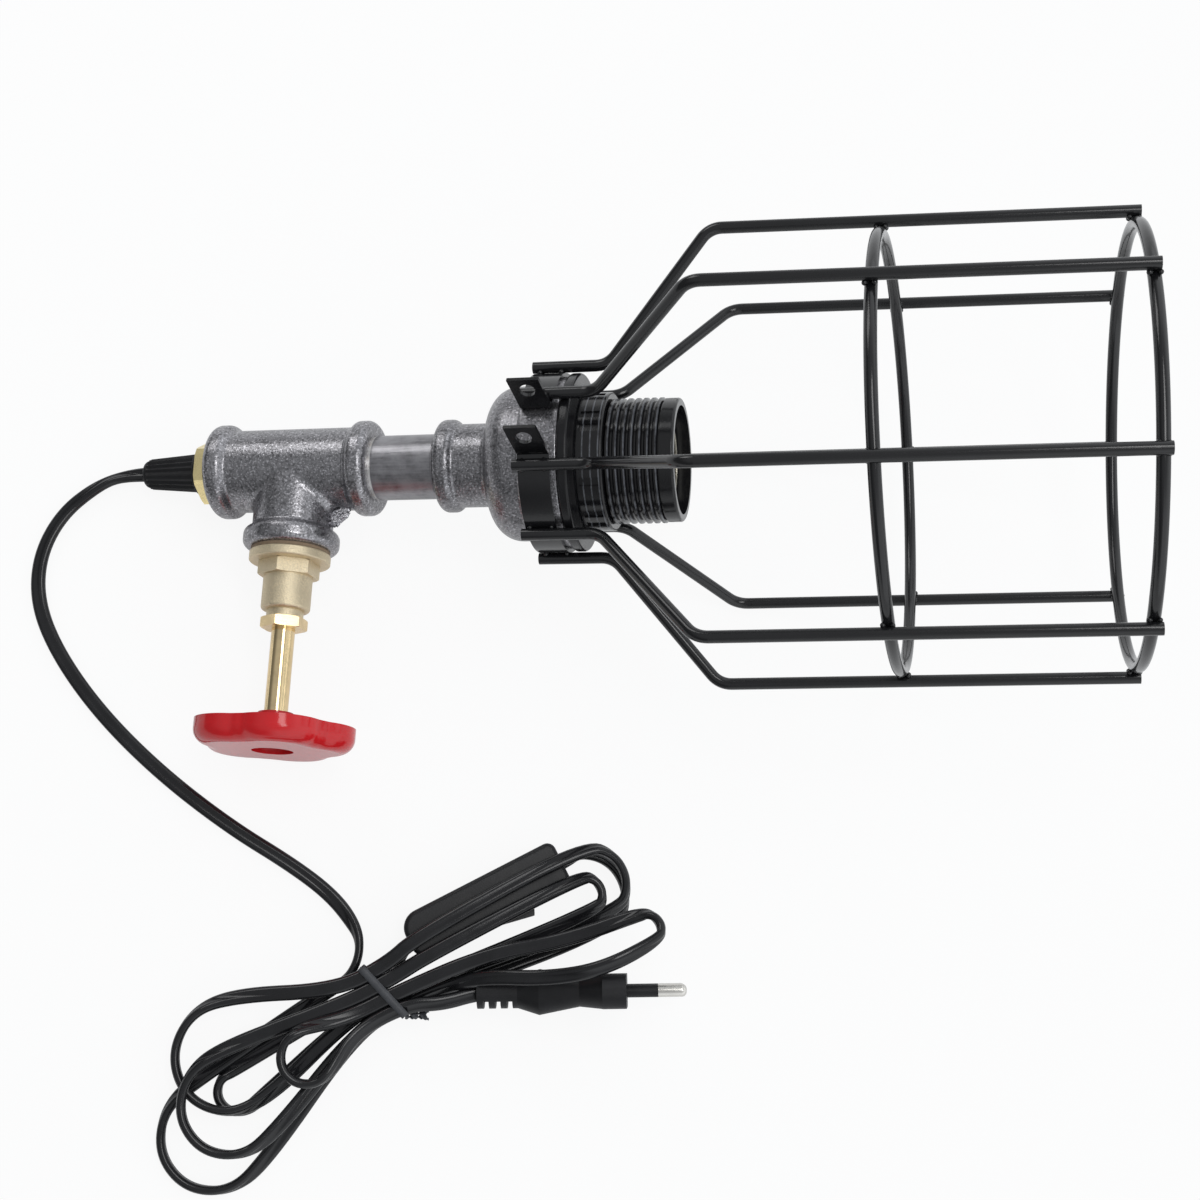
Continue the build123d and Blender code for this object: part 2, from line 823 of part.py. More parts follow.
def terminal_screws():
    screw = rod(bell_rim - terminal_head_height, bell_rim, terminal_head_radius)
    screw += rod(bell_rim, bell_rim + terminal_shank_length - seat, terminal_shank_radius)
    return Compound([Pos(0, side * terminal_spacing, terminal_offset) * screw for side in (-1, 1)])


# Clamp band and cage
def band_ear(angle):
    """One ear of the band, slanted towards the tee, with a hole across it. The two are parallel."""
    middle = (band_start + band_end) / 2
    outline = make_face(
        Polyline(
            (band_start, 0),
            (band_end, 0),
            (band_end - band_ear_slant, band_ear_reach),
            (band_start - band_ear_slant, band_ear_reach),
            close=True,
        )
    )
    hole_height = band_ear_reach - band_ear_hole_drop
    hole_along = middle - band_ear_slant * hole_height / band_ear_reach
    outline -= Pos(hole_along, hole_height) * Circle(band_ear_hole_radius)
    upright = Plane(origin=(0, band_thickness / 2, 0), x_dir=(1, 0, 0), z_dir=(0, -1, 0))
    root = Rot(angle, 0, 0) * Pos(0, 0, (band_inner + band_outer) / 2)
    return root * Rot(band_ear_lean - angle, 0, 0) * extrude(upright * outline, band_thickness)


def clamp_band():
    band = tube(band_start, band_end, band_outer, band_inner)
    reach = band_outer + band_ear_reach
    gap_points = [(0, 0)]
    for angle in (band_upper_ear_angle, band_lower_ear_angle):
        turn = math.radians(angle)
        gap_points.append((-reach * math.sin(turn), reach * math.cos(turn)))
    gap = Plane.YZ.offset(band_start - overrun) * make_face(Polyline(*gap_points, close=True))
    band -= extrude(gap, band_width + 2 * overrun)
    return band + band_ear(band_upper_ear_angle) + band_ear(band_lower_ear_angle)


def cage_bar(number):
    end = cage_end + bar_overhangs[number]
    path = FilletPolyline(
        (bar_start, 0, band_bar_radius),
        (bar_bend, 0, band_bar_radius),
        (cage_bulge, 0, cage_bulge_radius),
        (end, 0, cage_end_radius + cage_slope * (end - cage_end)),
        radius=bar_bend_radius,
    )
    section = Plane(origin=(bar_start, 0, band_bar_radius), z_dir=(1, 0, 0)) * Circle(wire_radius)
    return Rot(cage_roll + number * 360 / bar_count, 0, 0) * sweep(section, path)


def cage_hoop(along, lean=0, skew=0):
    bar_radius = cage_end_radius + cage_slope * (along - cage_end)
    hoop = Plane.YZ * Torus(bar_radius - 2 * wire_radius - seat, wire_radius)
    return Pos(along, 0, 0) * Rot(0, lean, skew) * hoop


# Inline switch, in its own frame: length along X, rocker towards -Y, standing on Z = 0
pivot_y = rocker_pivot_depth - switch_width / 2


def switch_case():
    case = block((0, switch_length), (-switch_width / 2, switch_width / 2), (0, switch_height))
    case = fillet(case.edges().filter_by(Axis.Z).sort_by(Axis.X)[:2], switch_left_corner)
    case = fillet(case.edges().filter_by(Axis.Z).sort_by(Axis.X)[-2:], switch_right_corner)
    rims = case.faces().sort_by(Axis.Z)[-1].edges() + case.faces().sort_by(Axis.Z)[0].edges()
    case = fillet(rims, switch_edge_rounding)
    case -= block(
        (switch_cavity_start, switch_cavity_end),
        (-switch_cavity_depth, switch_cavity_depth),
        (switch_wall, switch_height - switch_wall),
    )
    slot_reach = rocker_reach + rocker_slot_clearance
    slot_half = rocker_height / 2 + rocker_slot_clearance
    case -= block(
        (rocker_pivot - slot_reach, rocker_pivot + slot_reach),
        (-switch_width / 2 - overrun, 0),
        (switch_height / 2 - slot_half, switch_height / 2 + slot_half),
    )
    pin_reach = rocker_pin_inset + seat
    pin_hole = Pos(rocker_pivot, pivot_y) * Cylinder(rocker_pin_radius + seat, switch_height)
    case -= Pos(0, 0, switch_height / 2) * pin_hole & block(
        (0, switch_length), (-switch_width, switch_width), (pin_reach, switch_height - pin_reach)
    )
    cord_hole = rod(-overrun, switch_cord_depth, cord_radius + seat)
    cord_hole += rod(switch_length - switch_cord_depth, switch_length + overrun, cord_radius + seat)
    case -= Pos(0, 0, switch_cord_height) * cord_hole
    return case - switch_screws(seat)


def switch_half(side):
    along = (-overrun, switch_length + overrun)
    across = sorted((0, side * switch_width))
    return switch_case() & block(along, across, (-overrun, switch_height + overrun))


def switch_screws(clearance):
    """Two screws from the base into the cover, or their holes when given a clearance."""
    head_start = switch_width / 2 - switch_screw_sink
    head_height = switch_screw_sink + overrun if clearance else switch_screw_head_height
    head_end = head_start + head_height
    screw = rod(head_start - switch_screw_length, head_start, switch_screw_radius + clearance)
    screw += rod(head_start, head_end, switch_screw_head_radius + clearance)
    upright = Plane(origin=(0, 0, switch_screw_height), x_dir=(0, 1, 0), z_dir=(0, 0, 1))
    places = (switch_screw_inset, switch_length - switch_screw_inset)
    return Compound([Pos(place, 0, 0) * (upright * screw) for place in places])


def switch_rocker():
    """The rocker's V-topped key about its pivot, tipped to one side."""
    half_root = rocker_root_width / 2
    outline = make_face(
        Polyline(
            (-rocker_reach, -rocker_crest),
            (0, -rocker_dip),
            (rocker_reach, -rocker_crest),
            (rocker_reach, 0),
            (half_root, rocker_root),
            (-half_root, rocker_root),
            (-rocker_reach, 0),
            close=True,
        )
    )
    outline = outline & Circle(rocker_reach) - Circle(rocker_pin_radius + running_fit)
    key = extrude(outline, rocker_height)
    lift = (switch_height - rocker_height) / 2
    return Pos(rocker_pivot, pivot_y, lift) * Rot(0, 0, -rocker_tilt) * key


def rocker_pin():
    pin = block(
        (rocker_pivot - rocker_pin_radius, rocker_pivot + rocker_pin_radius),
        (pivot_y - rocker_pin_radius, pivot_y + rocker_pin_radius),
        (rocker_pin_inset + seat, switch_height - rocker_pin_inset - seat),
    )
    return pin & Pos(rocker_pivot, pivot_y, switch_height / 2) * Cylinder(rocker_pin_radius, switch_height)


def switch_contacts():
    top = switch_wall + switch_contact_height
    contacts = []
    for start in (switch_cavity_start, switch_cavity_end - switch_contact_length):
        across = (switch_cavity_depth - switch_contact_depth, switch_cavity_depth)
        contacts.append(block((start, start + switch_contact_length), across, (switch_wall, top)))
    return Compound(contacts)


# Plug, in its own frame: cord end at the origin, pins along X, height along Z
def plug_section(along, width, height):
    return Plane.YZ.offset(along) * RectangleRounded(width, height, plug_rounding)


def plug_body():
    body = loft(
        [
            plug_section(0, plug_relief_width, plug_relief_height),
            plug_section(plug_relief_length, plug_relief_width, plug_relief_height),
            plug_section(plug_bulge_at, plug_bulge_width, plug_bulge_height),
            plug_section(plug_waist_at, plug_waist_width, plug_waist_height),
            plug_section(plug_shoulder_at, plug_flange_width, plug_shoulder_height),
        ],
        ruled=True,
    )
    flange = plug_section(plug_shoulder_at, plug_flange_width, plug_flange_height)
    body += extrude(flange, plug_length - plug_shoulder_at)
    for number in range(plug_slot_count):
        start = plug_slot_pitch * number + plug_slot_width
        for side in (-1, 1):
            edges = (side * (plug_relief_width / 2 - plug_slot_depth), side * plug_relief_width)
            height = (-plug_relief_height, plug_relief_height)
            body -= block((start, start + plug_slot_width), sorted(edges), height)
    body -= rod(-overrun, plug_cord_depth, cord_radius + seat)
    pin_hole = rod(plug_length - pin_root_depth, plug_length + overrun, pin_core_radius + seat)
    for side in (-1, 1):
        body -= Pos(0, 0, side * pin_spacing) * pin_hole
    return body


def plug_pins():
    bare_start = plug_length + pin_sleeve_length
    tip = plug_length + pin_length
    pin = turned(
        (plug_length - pin_root_depth, 0),
        (plug_length - pin_root_depth, pin_core_radius),
        (bare_start, pin_core_radius),
        (bare_start, pin_radius),
        (tip, pin_radius, pin_tip_rounding),
        (tip, 0),
    )
    return Compound([Pos(0, 0, side * pin_spacing) * pin for side in (-1, 1)])


def plug_pin_sleeves():
    sleeve = tube(plug_length, plug_length + pin_sleeve_length, pin_radius, pin_core_radius + seat)
    return Compound([Pos(0, 0, side * pin_spacing) * sleeve for side in (-1, 1)])


# Hank: places are along and across the waist and above the table
def spot(along, across, height, heading):
    """A place on a strand and the way it heads there, in the lamp's frame."""
    place = waist.from_local_coords(Vector(along, across, height))
    direction = waist.from_local_coords(Vector(*heading)) - waist.origin
    return place, direction.normalized()


def outward(fan):
    """The unit vector that a loop points along and the one square to it."""
    turn = math.radians(fan)
    return (math.cos(turn), math.sin(turn)), (-math.sin(turn), math.cos(turn))


def loop(middle, half, fan, heights, way):
    """Out along a loop's near side, round its end and back: way is 1 to the right and -1 to the left."""
    out, square = outward(fan)
    stations = ((-1, 0, (1, 0)), (0, 1, (0, 1)), (1, 0, (-1, 0)))
    places = []
    for (aside, ahead, (pull, swing)), height in zip(stations, heights):
        place = [m + way * half * (ahead * o + aside * s) for m, o, s in zip(middle, out, square)]
        heading = [way * (pull * o + swing * s) for o, s in zip(out, square)]
        places.append(spot(*place, height, (*heading, 0)))
    return places


def left_loop(number, height):
    out = outward(left_fans[number])[0]
    reach = left_halves[number] - left_reaches[number]
    middle = [reach * o for o in out]
    return loop(middle, left_halves[number], left_fans[number], [height] * 3, -1)


def right_loop(number, heights):
    middle = (right_alongs[number], right_acrosses[number])
    return loop(middle, right_halves[number], right_fans[number], heights, 1)


def waist_run(column, row, way):
    """A straight run through the waist, way 1 to the right and -1 to the left."""
    across = (column - (strand_columns - 1) / 2) * strand_pitch
    height = cord_radius + waist_lift + row * strand_pitch
    ends = (-way * waist_half, way * waist_half)
    return [spot(end, across, height, (way, 0, 0)) for end in ends]


def arc_or_line(start, heading, end):
    chord = end - start
    if chord.cross(heading).length < straightness * chord.length:
        return Line(start, end)
    return TangentArc(start, end, tangent=heading)


def biarc(first, second):
    """One straight run or two tangent arcs between two places on a strand."""
    (start, leaving), (end, arriving) = first, second
    chord = end - start
    bend = 2 * (1 - leaving.dot(arriving))
    along = chord.dot(leaving + arriving)
    if bend < straightness and chord.cross(leaving).length < straightness * chord.length:
        return [Line(start, end)]
    if bend < straightness:
        reach = chord.dot(chord) / (2 * along)
    else:
        reach = (math.sqrt(along**2 + bend * chord.dot(chord)) - along) / bend
    middle = (start + end + (leaving - arriving) * reach) / 2
    through = (end - arriving * reach - start - leaving * reach).normalized()
    return [arc_or_line(start, leaving, middle), arc_or_line(middle, through, end)]


def least_gap(edges):
    """The least distance between a strand's far-apart stretches, less its diameter."""
    places = []
    travelled = 0
    for edge in edges:
        count = math.ceil(edge.length / gap_step)
        for step in range(count):
            places.append((travelled + edge.length * step / count, tuple(edge.position_at(step / count))))
        travelled += edge.length
    skip = gap_skip_diameters * 2 * cord_radius
    least = travelled
    for index, (length, place) in enumerate(places):
        for other_length, other in places[index + 1:]:
            if other_length - length > skip:
                least = min(least, math.dist(place, other))
    return least - 2 * cord_radius


def strand(name, places):
    """One unbroken tube through the places, with its radii and least gap to itself printed."""
    edges = [edge for first, second in zip(places, places[1:]) for edge in biarc(first, second)]
    radii = [round(edge.radius, 1) for edge in edges if edge.geom_type == GeomType.CIRCLE]
    path = Wire(edges)
    tube_solid = sweep(Plane(origin=places[0][0], z_dir=places[0][1]) * Circle(cord_radius), path)
    ratio = tube_solid.volume / (math.pi * cord_radius**2 * path.length)
    print(name, "length", round(path.length, 1), "volume ratio", round(ratio, 4))
    print(name, "arc radii", radii)
    print(name, "least gap to itself", round(least_gap(edges), 2))
    return tube_solid


over_switch = switch_height + cord_radius + over_switch_gap
switch_end = switch_start + switch_length


def cord_to_switch():
    places = [spot(lead_end_along, lead_end_across, lead_height, (-1, 0, 0))]
    places += left_loop(0, lead_height)
    places += waist_run(0, 0, 1)
    places += right_loop(0, (lead_height, lead_height + first_return_rise, switch_cord_height))
    places.append(spot(switch_end - switch_cord_depth, switch_offset, switch_cord_height, (-1, 0, 0)))
    return strand("cord_to_switch", places)


def cord_to_plug(entry, entry_heading):
    settled = entry_settle - waist_half
    first_height = cord_radius + waist_lift
    first_across = strand_pitch / 2
    crossing = switch_start + switch_crossing
    places = [spot(switch_start + switch_cord_depth, switch_offset, switch_cord_height, (-1, 0, 0))]
    places.append(spot(switch_start - entry_straight, switch_offset, switch_cord_height, (-1, 0, 0)))
    places.append(spot(settled, first_across, first_height, (-1, 0, 0)))
    places.append(spot(-waist_half, first_across, first_height, (-1, 0, 0)))
    places += left_loop(1, lead_height) + waist_run(1, 0, 1)
    places += right_loop(1, (*second_loop_heights, over_switch))
    places.append(spot(crossing, second_crossing, over_switch, (-1, 0, 0)))
    places += waist_run(3, 2, -1) + left_loop(2, lead_height + strand_pitch) + waist_run(1, 1, 1)
    places += right_loop(2, (third_loop_height, over_switch, over_switch))
    places.append(spot(crossing, third_crossing, over_switch, (-1, 0, 0)))
    places += waist_run(2, 2, -1) + left_loop(3, lead_height + 2 * strand_pitch) + waist_run(0, 1, 1)
    places += [spot(*place, heading) for place, heading in zip(plug_strand_places, plug_strand_headings)]
    places += right_loop(3, fourth_loop_heights)
    places += [spot(*place, heading) for place, heading in zip(back_strand_places, back_strand_headings)]
    places += waist_run(1, 2, -1) + left_loop(4, lead_height + 3 * strand_pitch) + waist_run(0, 2, 1)
    places.append(spot(*plug_tail_place, plug_tail_heading))
    places.append((entry, entry_heading))
    places.append((entry + entry_heading * plug_cord_depth, entry_heading))
    return strand("cord_to_plug", places)


def cord_lead(exit_place, exit_heading):
    """The free cord: straight runs joined by arcs as large as the runs allow."""
    points = [exit_place, exit_place + exit_heading * lead_exit_run]
    points += [Vector(*place) for place in lead_route]
    for along, across in lead_turn_places:
        points.append(waist.from_local_coords(Vector(along, across, lead_height)))
    points.append(spot(lead_end_along, lead_end_across, lead_height, (-1, 0, 0))[0])
    radii = []
    for before, corner, after in zip(points, points[1:], points[2:]):
        arriving, leaving = corner - before, after - corner
        half_turn = math.radians(arriving.get_angle(leaving)) / 2
        radii.append(bend_share * min(arriving.length, leaving.length) / math.tan(half_turn))
    path = FilletPolyline(*points, radius=radii)
    lead = sweep(Plane(origin=exit_place, z_dir=exit_heading) * Circle(cord_radius), path)
    ratio = lead.volume / (math.pi * cord_radius**2 * path.length)
    print("cord_lead length", round(path.length, 1), "volume ratio", round(ratio, 4))
    print("cord_lead radii", [round(radius, 1) for radius in radii])
    return lead


def twist_tie():
    """A flat strap round the waist with its twisted ends laid to one side."""
    height = tie_top - tie_bottom
    middle = (tie_top + tie_bottom) / 2
    inside = RectangleRounded(2 * tie_half_across, height, tie_corner)
    outside = offset(inside, tie_thickness)
    strap = extrude(Plane.YZ.offset(tie_along - tie_width / 2) * (outside - inside), tie_width)
    strap = Pos(0, 0, middle) * strap
    tail_start = tie_half_across + tie_thickness / 2
    strap += block(
        (tie_along - tie_tail_thickness / 2, tie_along + tie_tail_thickness / 2),
        (-tail_start - tie_tail_length, -tail_start),
        (middle - tie_tail_thickness / 2, middle + tie_tail_thickness / 2),
    )
    return waist * strap


lamp = {
    "tee": tee(),
    "pipe_nipple": pipe_nipple(),
    "reducing_socket": reducing_socket(),
    "gland_bush": gland_bush(),
    "cord_grip_body": cord_grip_body(),
    "cord_grip_cap": cord_grip_cap(),
    "inner_cable": inner_cable(),
    "core_live": core_wire(1),
    "core_neutral": core_wire(-1),
    "bonnet_gasket": bonnet_gasket(),
    "valve_bonnet": valve_bonnet(),
    "packing_ring": packing_ring(),
    "gland_nut": gland_nut(),
    "valve_spindle": valve_spindle(),
    "jumper_plate": jumper_plate(),
    "jumper_washer": jumper_washer(),
    "handwheel": handwheel(),
    "wheel_washer": wheel_washer(),
    "wheel_screw": wheel_screw(),
    "holder_base": holder_base(),
    "holder_ring": holder_ring(),
    "holder_skirt": holder_skirt(),
    "contact_block": contact_block(),
    "screw_shell": screw_shell(),
    "shell_contact": shell_contact(),
    "centre_contact": centre_contact(),
    "terminal_screws": terminal_screws(),
    "clamp_band": clamp_band(),
    "cage_mid_hoop": cage_hoop(cage_middle, mid_hoop_lean, mid_hoop_skew),
    "cage_end_hoop": cage_hoop(cage_end),
}
for number in range(bar_count):
    lamp[f"cage_bar_{number + 1}"] = cage_bar(number)

# The lamp lies tilted on the table, its box centred over the origin
tilted = Rot(0, -math.degrees(lamp_tilt), 0)
box = Compound([tilted * piece for piece in lamp.values()]).bounding_box()
rest = Pos(-box.center().X, -box.center().Y, -box.min.Z) * tilted
nodes = {name: rest * piece for name, piece in lamp.items()}

switch_place = waist.location * Pos(switch_start, switch_offset, 0)
switch = {
    "switch_base": switch_half(1),
    "switch_cover": switch_half(-1),
    "switch_rocker": switch_rocker(),
    "rocker_pin": rocker_pin(),
    "switch_screws": switch_screws(0),
    "switch_contacts": switch_contacts(),
}
nodes.update({name: switch_place * piece for name, piece in switch.items()})

plug = {"plug_body": plug_body(), "plug_pins": plug_pins(), "plug_pin_sleeves": plug_pin_sleeves()}
plug_turn = Rot(0, 0, plug_heading) * Rot(0, -plug_nose_up, 0)
plug_lift = floor_gap - (plug_turn * plug["plug_body"]).bounding_box().min.Z
plug_place = Pos(plug_x, plug_y, plug_lift) * plug_turn
nodes.update({name: plug_place * piece for name, piece in plug.items()})

exit_plane = Plane(rest * Pos(cord_exit, 0, 0))
plug_plane = Plane(plug_place)
nodes["cord_lead"] = cord_lead(exit_plane.origin, -exit_plane.x_dir)
nodes["cord_to_switch"] = cord_to_switch()
nodes["cord_to_plug"] = cord_to_plug(plug_plane.origin, plug_plane.x_dir)
nodes["twist_tie"] = twist_tie()

print("tee centre", rest.position, "plug entry", plug_plane.origin)
print("lamp tilt", round(math.degrees(lamp_tilt), 3), "branch rise", round(math.degrees(branch_rise), 3))
os.makedirs("parts", exist_ok=True)
for name, piece in nodes.items():
    export_step(piece, f"parts/{name}.step")
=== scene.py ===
"""A lamp of pipe fittings with a wire cage, lying on a white table beside its bundled cord."""

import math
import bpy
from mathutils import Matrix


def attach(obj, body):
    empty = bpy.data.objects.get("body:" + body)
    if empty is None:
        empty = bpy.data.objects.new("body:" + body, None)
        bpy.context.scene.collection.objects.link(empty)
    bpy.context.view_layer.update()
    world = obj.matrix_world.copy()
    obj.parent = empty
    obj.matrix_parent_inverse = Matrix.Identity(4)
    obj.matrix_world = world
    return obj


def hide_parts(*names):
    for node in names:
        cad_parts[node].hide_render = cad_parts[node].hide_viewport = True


bl_info = {
    "name": "Pipe lamp",
    "version": (1, 0, 0),
    "blender": (4, 5, 0),
    "location": "View3D > Sidebar > Pipe lamp",
    "description": "Finishes, cord, tie, weld beads and stage for a lamp of pipe fittings",
    "category": "Object",
}

import bmesh
import bpy
from bpy.props import FloatProperty, FloatVectorProperty, IntProperty, PointerProperty
from mathutils import Matrix, Vector, noise

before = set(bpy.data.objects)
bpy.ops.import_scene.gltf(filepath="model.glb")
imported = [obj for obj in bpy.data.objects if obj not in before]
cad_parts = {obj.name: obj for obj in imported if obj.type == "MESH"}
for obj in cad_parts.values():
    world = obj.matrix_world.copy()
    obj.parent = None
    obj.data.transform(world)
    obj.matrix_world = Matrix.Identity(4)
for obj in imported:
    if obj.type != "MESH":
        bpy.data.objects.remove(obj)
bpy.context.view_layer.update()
MM = 0.001

# The lamp's axis as it lies, and the tee's centre on it
TEE_CENTRE = Vector((-111.96, 12.491, 22.948)) * MM
LAMP_TILT = math.radians(17.912)
LAMP_TURN = Matrix.Rotation(-LAMP_TILT, 3, "Y")
BRANCH_WAY = Vector((-0.00752, -0.9997, 0.02326))

# Stub of the casting's gate: its middle along the run and out along the branch, and its lumps
STUB_ALONG = 15.8 * MM
STUB_OUT = 16.2 * MM
STUB_DIVISIONS = 5
LUMP_SCALE = 3.4
LUMP_SMOOTHNESS = 0.8
LUMP_GAP = 2.2
LUMP_OCTAVES = 5

# Wire cage: bars outside two hoops
WIRE_RADIUS = 1.9 * MM
CAGE_ROLL = 18.4
BAR_COUNT = 8
BAR_BULGE_AT = 140.0 * MM
BAR_BULGE_RADIUS = 71.89 * MM
CAGE_END_AT = 266.9 * MM
CAGE_END_RADIUS = 69.82 * MM
CAGE_MIDDLE_AT = 195.45 * MM
MID_HOOP_LEAN = math.radians(-3.3)
MID_HOOP_SKEW = math.radians(1.15)
BAND_START = 83.0 * MM
BAND_END = 93.0 * MM
BAND_OUTER = 28.8 * MM

# Weld beads: off a crossing in wire radii, and on the clamp band from its edges, its bars and its face
BEAD_DIVISIONS = 2
CROSSING_SPREAD = 0.75
BAND_BEAD_INSET = 1.5 * MM
BAND_BEAD_ASIDE = 1.45 * MM
BAND_BEAD_RISE = 0.35 * MM

# Ringed skirt of the lampholder: where its thread ends, its pitch, and the painted highlight line on its
# crests, in pitches
SKIRT_THREAD_END = 125.4 * MM
SKIRT_PITCH = 2.5 * MM
CREST_HIGHLIGHT_AT = 0.55
CREST_HIGHLIGHT_HALF = 0.09

# Bare pipe: where it leaves the tee and enters the reducing socket, and its threads' bright cut ends
PIPE_START = 28.0 * MM
PIPE_END = 50.4 * MM
CUT_WIDTH = 0.9 * MM
CUT_FULL = 0.7 * MM

# Hank, in millimetres: waist, strands, and loops as in the solids, but the last left one wider
WAIST = Vector((-76.4, -157.5, 0.0)) * MM
WAIST_HEADING = math.radians(29.5)
WAIST_AHEAD = Vector((math.cos(WAIST_HEADING), math.sin(WAIST_HEADING), 0.0))
STRAND_PITCH = 4.75
COLUMN_MIDDLE = 1.5
FLOOR_HEIGHT = 2.12
WAIST_HALF = 9.0
WAIST_HEIGHT = 3.4
LEFT_REACHES = [80.7, 57.0, 64.5, 68.5, 34.5]
LEFT_HALVES = [16.8, 6.4, 17.0, 15.5, 8.3]
LEFT_FANS = [13.9, 7.5, -5.5, 9.5, 15.5]
RIGHT_ALONGS = [76.0, 78.0, 74.7, 86.0]
RIGHT_HALVES = [13.7, 12.5, 6.2, 4.9]
RIGHT_ACROSSES = [-3.3, -0.6, -2.6, -20.8]
RIGHT_FANS = [0.0, 0.0, 0.0, 6.0]
SWITCH_CORD_HEIGHT = 6.3
OVER_SWITCH = 15.15
RIGHT_HEIGHTS = [
    (FLOOR_HEIGHT, FLOOR_HEIGHT + 2.0, SWITCH_CORD_HEIGHT),
    (9.5, 12.5, OVER_SWITCH),
    (14.6, OVER_SWITCH, OVER_SWITCH),
    (33.0, 29.0, 25.0),
]
LEFT_CORNERS = (-112.5, -67.5, -22.5, 22.5, 67.5, 112.5)
RIGHT_CORNERS = (-67.5, -22.5, 22.5, 67.5)
CORNER_REACH = 1 / math.cos(math.radians(22.5))
SWITCH_START = 18.0
SWITCH_END = 74.0
SWITCH_DEPTH = 6.0
SWITCH_ACROSS = 10.4
SWITCH_STRAIGHT = 1.0
OVER_SWITCH_FROM = 3.0
OVER_SWITCH_ACROSSES = [10.5, 3.6]
LEAD_FALL = [(-163.82, 12.49, 6.19), (-171.43, 12.49, 3.73), (-180.6, 8.5, 2.7)]
LEAD_FLOOR = [
    (-191.6, -2.2),
    (-197.3, -17.3),
    (-196.1, -33.8),
    (-187.3, -50.8),
    (-171.6, -69.8),
    (-150.6, -88.3),
    (-126.6, -104.8),
    (-105.1, -116.5),
    (-91.1, -126.1),
    (-83.0, -136.0),
]
LEAD_TURNS = [(3.2, 15.8), (-0.9, 11.0), (-6.7, 8.3), (-13.0, 8.3)]
PLUG_STRAND = [(22.0, -7.7, 8.7), (35.0, -10.8, 18.8), (52.0, -20.3, 26.8), (68.0, -25.3, 34.8)]
BACK_STRAND = [(63.0, -12.6, 20.0), (38.0, -4.6, 17.6)]
PLUG_TAIL = (19.0, -12.0, 12.8)
PLUG_ENTRY = Vector((-42.6, -154.9, 11.22)) * MM
PLUG_HEADING = Vector((0.98891, 0.05183, 0.13917))
PLUG_CORD_DEPTH = 5.0 * MM

# Flat cord: points of its outline, how square that is, and the width of the groove between its cores
OUTLINE_POINTS = 28
OUTLINE_SIDE_POWER = 0.6
OUTLINE_FACE_POWER = 0.8
GROOVE_WIDTH = 0.55 * MM

# Flat cord in its bends: the bend from which it tips, and how much more sets it on edge
EDGE_BEND_FROM = 18.0
EDGE_BEND_SPAN = 40.0
EDGE_PASSES = 60
SHORTEST_RUN = 0.1 * MM

# Wire tie: its plane across the waist, its corners, the points on each side, and its outline in shares
TIE_ALONG = 4.0
TIE_SLANT = -0.3
TIE_CORNERS = [(-9.9, 8.2), (-9.9, 1.25), (9.9, 1.25), (9.9, 15.1), (-9.9, 15.1), (-9.9, 8.2)]
TIE_SIDE_SHARES = (0.0, 0.12, 0.5, 0.88)
TIE_STEPS = 4
TIE_UPPER = [(-0.5, 0.3), (-0.16, 0.3), (0.0, 0.5), (0.16, 0.3), (0.5, 0.3)]
TIE_OUTLINE = [(across, -rise) for across, rise in TIE_UPPER] + TIE_UPPER[::-1]

# Twisted ends of the tie: where they start, where they point, and how they swing and spread
TAIL_FROM = (-9.9, 10.5)
TAIL_WAY = (0.88, -0.46, -0.05)
TAIL_STEPS = 60
TAIL_SWING = 0.5 * MM
TAIL_FLARE = 3.2 * MM
TAIL_FLARE_FROM = 0.75
TAIL_WIDTH_SHARE = 0.85

# Stage: the camera's film, the table and how white it looks and mirrors, the lights and their aim
FILM_WIDTH = 36.0
NEAREST_SEEN = 0.01
TABLE_REACH = 6.0
TABLE_ROUGHNESS = 0.7
SEEN_WHITE = 0.9
MIRRORED_WHITE = 0.35
KEY_PLACE = (0.12, 0.02, 0.9)
KEY_SIZE = (0.55, 0.25)
BACK_PLACE = (-0.55, 0.75, 0.5)
BACK_SIZE = (0.4, 0.4)
LIGHT_AIM = Vector((-0.02, -0.03, 0.05))

# Light from all round: heights and sides over which the room, the window and the ceiling blend
ROOM_SPAN = (0.35, 0.8)
WINDOW_SPAN = (0.55, 0.95)
SIDE_SPAN = (-0.4, 0.1)
SKY_TINT = (0.95, 0.975, 1.0, 1.0)

UP = Vector((0.0, 0.0, 1.0))
LAMP_BODY = "lamp"


def lamp_place(along, angle, radius):
    """A place along the lamp's axis, at an angle from its upper side and at a radius."""
    turn = math.radians(angle)
    local = Vector((along, -radius * math.sin(turn), radius * math.cos(turn)))
    return TEE_CENTRE + LAMP_TURN @ local


def waist_place(along, across, height):
    """A place along and across the hank's waist and above the table, given in millimetres."""
    aside = Vector((-WAIST_AHEAD.y, WAIST_AHEAD.x, 0.0))
    return WAIST + (WAIST_AHEAD * along + aside * across + Vector((0.0, 0.0, height))) * MM


def waist_way(along, across, height):
    """A direction given along and across the hank's waist and upwards."""
    return (waist_place(along, across, height) - waist_place(0.0, 0.0, 0.0)).normalized()


class CordSizes(bpy.types.PropertyGroup):
    width: FloatProperty(
        name="Width", description="Width of the flat cord", default=4.9 * MM, unit="LENGTH"
    )
    thickness: FloatProperty(
        name="Thickness", description="Thickness of the flat cord", default=3.0 * MM, unit="LENGTH"
    )
    groove: FloatProperty(
        name="Groove", description="Depth of the groove between the cores", default=0.45 * MM, unit="LENGTH"
    )
    steps: IntProperty(name="Steps", description="Rings between two points of the route", default=10, min=2)


